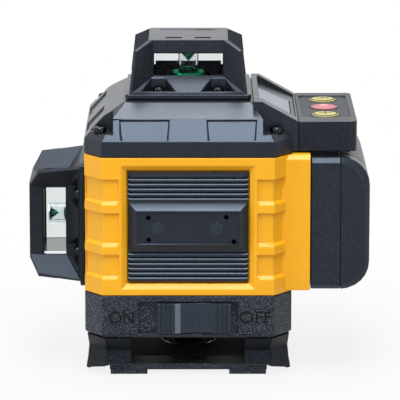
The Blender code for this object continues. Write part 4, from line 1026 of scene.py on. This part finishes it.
def raised_word(word, across, width):
    """A moulded word on the front of the base."""
    text = start_from(bpy.ops.object.text_add)
    text.name = "word_" + word.lower()
    text.data.body = word
    text.data.extrude = LETTER_BODY
    text.data.offset = -LETTER_THIN
    bpy.ops.object.convert(target="MESH")
    piece = bpy.context.object
    corners = [point.co for point in piece.data.vertices]
    low = Vector([min(corner[i] for corner in corners) for i in range(3)])
    high = Vector([max(corner[i] for corner in corners) for i in range(3)])
    size = high - low
    fit = Matrix.Diagonal(
        (width * MM / size.x, WORD_HEIGHT * MM / size.y, WORD_THICK * MM / size.z, 1.0)
    )
    upright = Matrix.Rotation(math.radians(90), 4, "X")
    centre = Matrix.Translation((PLUMB.x + across * MM, base_front, WORD_LEVEL * MM))
    piece.data.transform(centre @ upright @ fit @ Matrix.Translation(-(low + high) / 2))
    # Painted shade: the words are darker than the base round them.
    coat(piece, word_shade_black)
    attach(piece, "housing")


for word, (across, width) in WORDS.items():
    raised_word(word, across, width)


# ---------------------------------------------------------------- display

# The film reaches further back than the window's node, and lies a hair over the cover's slope.
FILM_REACH, FILM_SHIFT = 5.4, Vector((0.05, 0, 0.12))
film = merged_copy("lcd_window", "display_film")
pull(film, 1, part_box("lcd_window")[1].y, FILM_REACH)
film.data.transform(Matrix.Translation(FILM_SHIFT * MM))
break_edges(film, width=0.15, shortest=2.0)
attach(film, "housing")
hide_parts("lcd_window")


# ---------------------------------------------------------------- key prints

# Thickness of a print, and the share of a stroke's width that rounds each of its corners.
PRINT_THICK, STROKE_ROUND = 0.16, 0.48


def printed_ring(radius, width):
    """Flat ring: a disc, inset, with its middle taken out and drawn up to the thickness of the print."""
    ring = start_from(bpy.ops.mesh.primitive_circle_add, vertices=64, radius=radius * MM, fill_type="NGON")
    bpy.ops.object.mode_set(mode="EDIT")
    bpy.ops.mesh.select_all(action="SELECT")
    bpy.ops.mesh.inset(thickness=width * MM)
    bpy.ops.mesh.delete(type="FACE")
    bpy.ops.mesh.select_all(action="SELECT")
    bpy.ops.mesh.extrude_region_move(TRANSFORM_OT_translate={"value": (0, 0, PRINT_THICK * MM)})
    bpy.ops.mesh.select_all(action="SELECT")
    bpy.ops.mesh.normals_make_consistent(inside=False)
    bpy.ops.object.mode_set(mode="OBJECT")
    return ring


def printed_bar(length, width):
    """Short stroke of print with rounded ends."""
    bar = start_from(bpy.ops.mesh.primitive_cube_add, size=1, location=(0, 0, PRINT_THICK / 2 * MM))
    bar.scale = (length * MM, width * MM, PRINT_THICK * MM)
    bpy.ops.object.transform_apply(location=True, scale=True)
    clear_marks(bar, "EDGE")
    for edge in bar.data.edges:
        start, end = (bar.data.vertices[i].co for i in edge.vertices)
        edge.select = abs((end - start).z) > STRAIGHT * (end - start).length
    bpy.ops.object.mode_set(mode="EDIT")
    bpy.ops.mesh.bevel(offset=width * STROKE_ROUND * MM, segments=4, affect="EDGES")
    bpy.ops.object.mode_set(mode="OBJECT")
    return bar


# Each print is given by its form, its turn about the key's axis and its height on the domed key.
CREST, BROW = 94.78, 94.5
rim = printed_ring(radius=4.55, width=0.42)
small_ring = printed_ring(radius=1.5, width=0.4)
dot = printed_ring(radius=0.75, width=0.5)
stroke = printed_bar(length=4.6, width=0.5)
tick = printed_bar(length=2.2, width=0.45)
prints = {
    "lines": (dark_ink, "black_plastic", ((rim, 0, BROW), (stroke, 0, CREST), (stroke, 90, CREST))),
    "power": (pale_ink, "red_key", ((small_ring, 0, CREST), (tick, 90, CREST))),
    "dim": (dark_ink, "black_plastic", ((rim, 0, BROW), (dot, 0, CREST), (stroke, 0, CREST))),
}
for key, (ink, slot, marks) in prints.items():
    axis = middle("button_" + key)
    for number, (pattern, turn, level) in enumerate(marks, 1):
        place = Matrix.Translation((axis.x, axis.y, level * MM)) @ Matrix.Rotation(math.radians(turn), 4, "Z")
        mark = lay(pattern, "key_print_" + key + "_" + str(number), place, "key_" + key, slot)
        coat(mark, ink)
for pattern in (rim, small_ring, dot, stroke, tick):
    bpy.data.objects.remove(pattern)


# ---------------------------------------------------------------- studio, in metres

FLOOR_SIZE = 6.0
# Size of the patches in the paper's sheen, in millimetres.
PAPER_CLOUD = 25.0
# Between these distances from its middle the paper goes from this share of plain white to all of it.
SHADOW_NEAR, SHADOW_FAR, SHADOW_WHITE = 0.06, 0.20, 0.86
WORLD_STRENGTH = 0.26
LAMP_AIM = Vector((0, 0, 0.06))
# Four soft boxes in a row overhead, then the fills at the sides: place, size and watts.
LAMPS = {
    "front_box": ((0.0, -0.42, 0.90), (0.38, 0.46), 7.2),
    "low_strip": ((0.0, -0.74, 0.74), (0.40, 0.16), 1.9),
    "middle_box": ((0.0, 0.02, 0.97), (0.38, 0.40), 3.6),
    "rear_box": ((0.0, 0.46, 0.90), (0.38, 0.46), 4.0),
    "left_box": ((-0.85, -0.50, 0.22), (0.36, 0.36), 1.6),
    "left_fill": ((-0.85, -0.30, 0.60), (0.60, 0.60), 2.0),
    "right_box": ((0.80, -0.90, 0.16), (0.36, 0.36), 1.1),
}


def background_ray(tree):
    """1 for a ray that looks at the background from the camera, off a gloss or through glass."""
    path = put(tree, "ShaderNodeLightPath")
    seen = path.outputs["Is Camera Ray"]
    for ray in ("Is Glossy Ray", "Is Transmission Ray"):
        seen = put(
            tree, "ShaderNodeMath", links={0: seen, 1: path.outputs[ray]}, operation="MAXIMUM"
        ).outputs["Value"]
    return seen


def paper_floor():
    """White paper under the level, which keeps a faint shadow round its foot."""
    floor = start_from(bpy.ops.mesh.primitive_plane_add, size=FLOOR_SIZE, location=(0, 0, 0))
    floor.name = "floor"
    material, tree, shader, place = blank("white_paper_sweep")
    grain = put(tree, "ShaderNodeTexNoise", {"Scale": 1 / (PAPER_CLOUD * MM)}, {"Vector": place})
    sheen = put(
        tree, "ShaderNodeMapRange", {"To Min": 0.7, "To Max": 0.8}, {"Value": grain.outputs["Fac"]}
    )
    tree.links.new(sheen.outputs["Result"], shader.inputs["Roughness"])
    shader.inputs["Base Color"].default_value = tint("AEAEAE")
    shader.inputs["Specular IOR Level"].default_value = 0.0
    away = put(tree, "ShaderNodeVectorMath", links={0: place}, operation="LENGTH")
    fade = put(
        tree,
        "ShaderNodeMapRange",
        {"From Min": SHADOW_NEAR, "From Max": SHADOW_FAR, "To Min": SHADOW_WHITE, "To Max": 1.0},
        {"Value": away.outputs["Value"]},
    )
    seen = put(
        tree,
        "ShaderNodeMath",
        links={0: fade.outputs["Result"], 1: background_ray(tree)},
        operation="MULTIPLY",
    )
    white = put(tree, "ShaderNodeEmission", {"Color": tint("FFFFFF"), "Strength": 1.0})
    choose = put(
        tree,
        "ShaderNodeMixShader",
        links={0: seen.outputs["Value"], 1: shader.outputs["BSDF"], 2: white.outputs["Emission"]},
    )
    tree.links.new(choose.outputs["Shader"], tree.nodes["Material Output"].inputs["Surface"])
    floor.data.materials.append(material)


def pale_world():
    """A dim world round the level, which looks white where it is seen."""
    world = bpy.data.worlds.new("studio")
    bpy.context.scene.world = world
    world.use_nodes = True
    tree = world.node_tree
    back = tree.nodes["Background"]
    back.inputs["Color"].default_value = tint("F4F6FA")
    back.inputs["Strength"].default_value = WORLD_STRENGTH
    white = put(tree, "ShaderNodeBackground", {"Color": tint("FFFFFF"), "Strength": 1.0})
    choose = put(
        tree,
        "ShaderNodeMixShader",
        links={0: background_ray(tree), 1: back.outputs["Background"], 2: white.outputs["Background"]},
    )
    tree.links.new(choose.outputs["Shader"], tree.nodes["World Output"].inputs["Surface"])


def soft_boxes():
    """The lamps, all turned to the level."""
    for name, (place, size, watts) in LAMPS.items():
        lamp = bpy.data.lights.new(name, "AREA")
        lamp.shape = "RECTANGLE"
        lamp.size, lamp.size_y = size
        lamp.energy = watts
        obj = bpy.data.objects.new(name, lamp)
        bpy.context.scene.collection.objects.link(obj)
        obj.location = place
        obj.rotation_euler = (LAMP_AIM - Vector(place)).to_track_quat("-Z", "Y").to_euler()


CAMERA_DISTANCE, CAMERA_RISE = 1.30, math.radians(11.7)
# What the camera looks at, in millimetres as at() takes it.
CAMERA_AIM = (4.35, 0, 58.3)
# The first two are in millimetres, as a camera has them.
SENSOR_WIDTH, FOCAL_LENGTH, CLIP_END = 36, 308.6, 20


def photo_camera():
    """A long lens a little above the level, square to its front."""
    target = at(*CAMERA_AIM)
    away = Vector((0, -math.cos(CAMERA_RISE), math.sin(CAMERA_RISE)))
    camera = bpy.data.cameras.new("camera")
    camera.sensor_width = SENSOR_WIDTH
    camera.lens = FOCAL_LENGTH
    camera.clip_end = CLIP_END
    obj = bpy.data.objects.new("camera", camera)
    bpy.context.scene.collection.objects.link(obj)
    obj.location = target + away * CAMERA_DISTANCE
    obj.rotation_euler = (-away).to_track_quat("-Z", "Y").to_euler()
    bpy.context.scene.camera = obj


paper_floor()
pale_world()
soft_boxes()
photo_camera()
bpy.context.scene.view_settings.view_transform = "Standard"
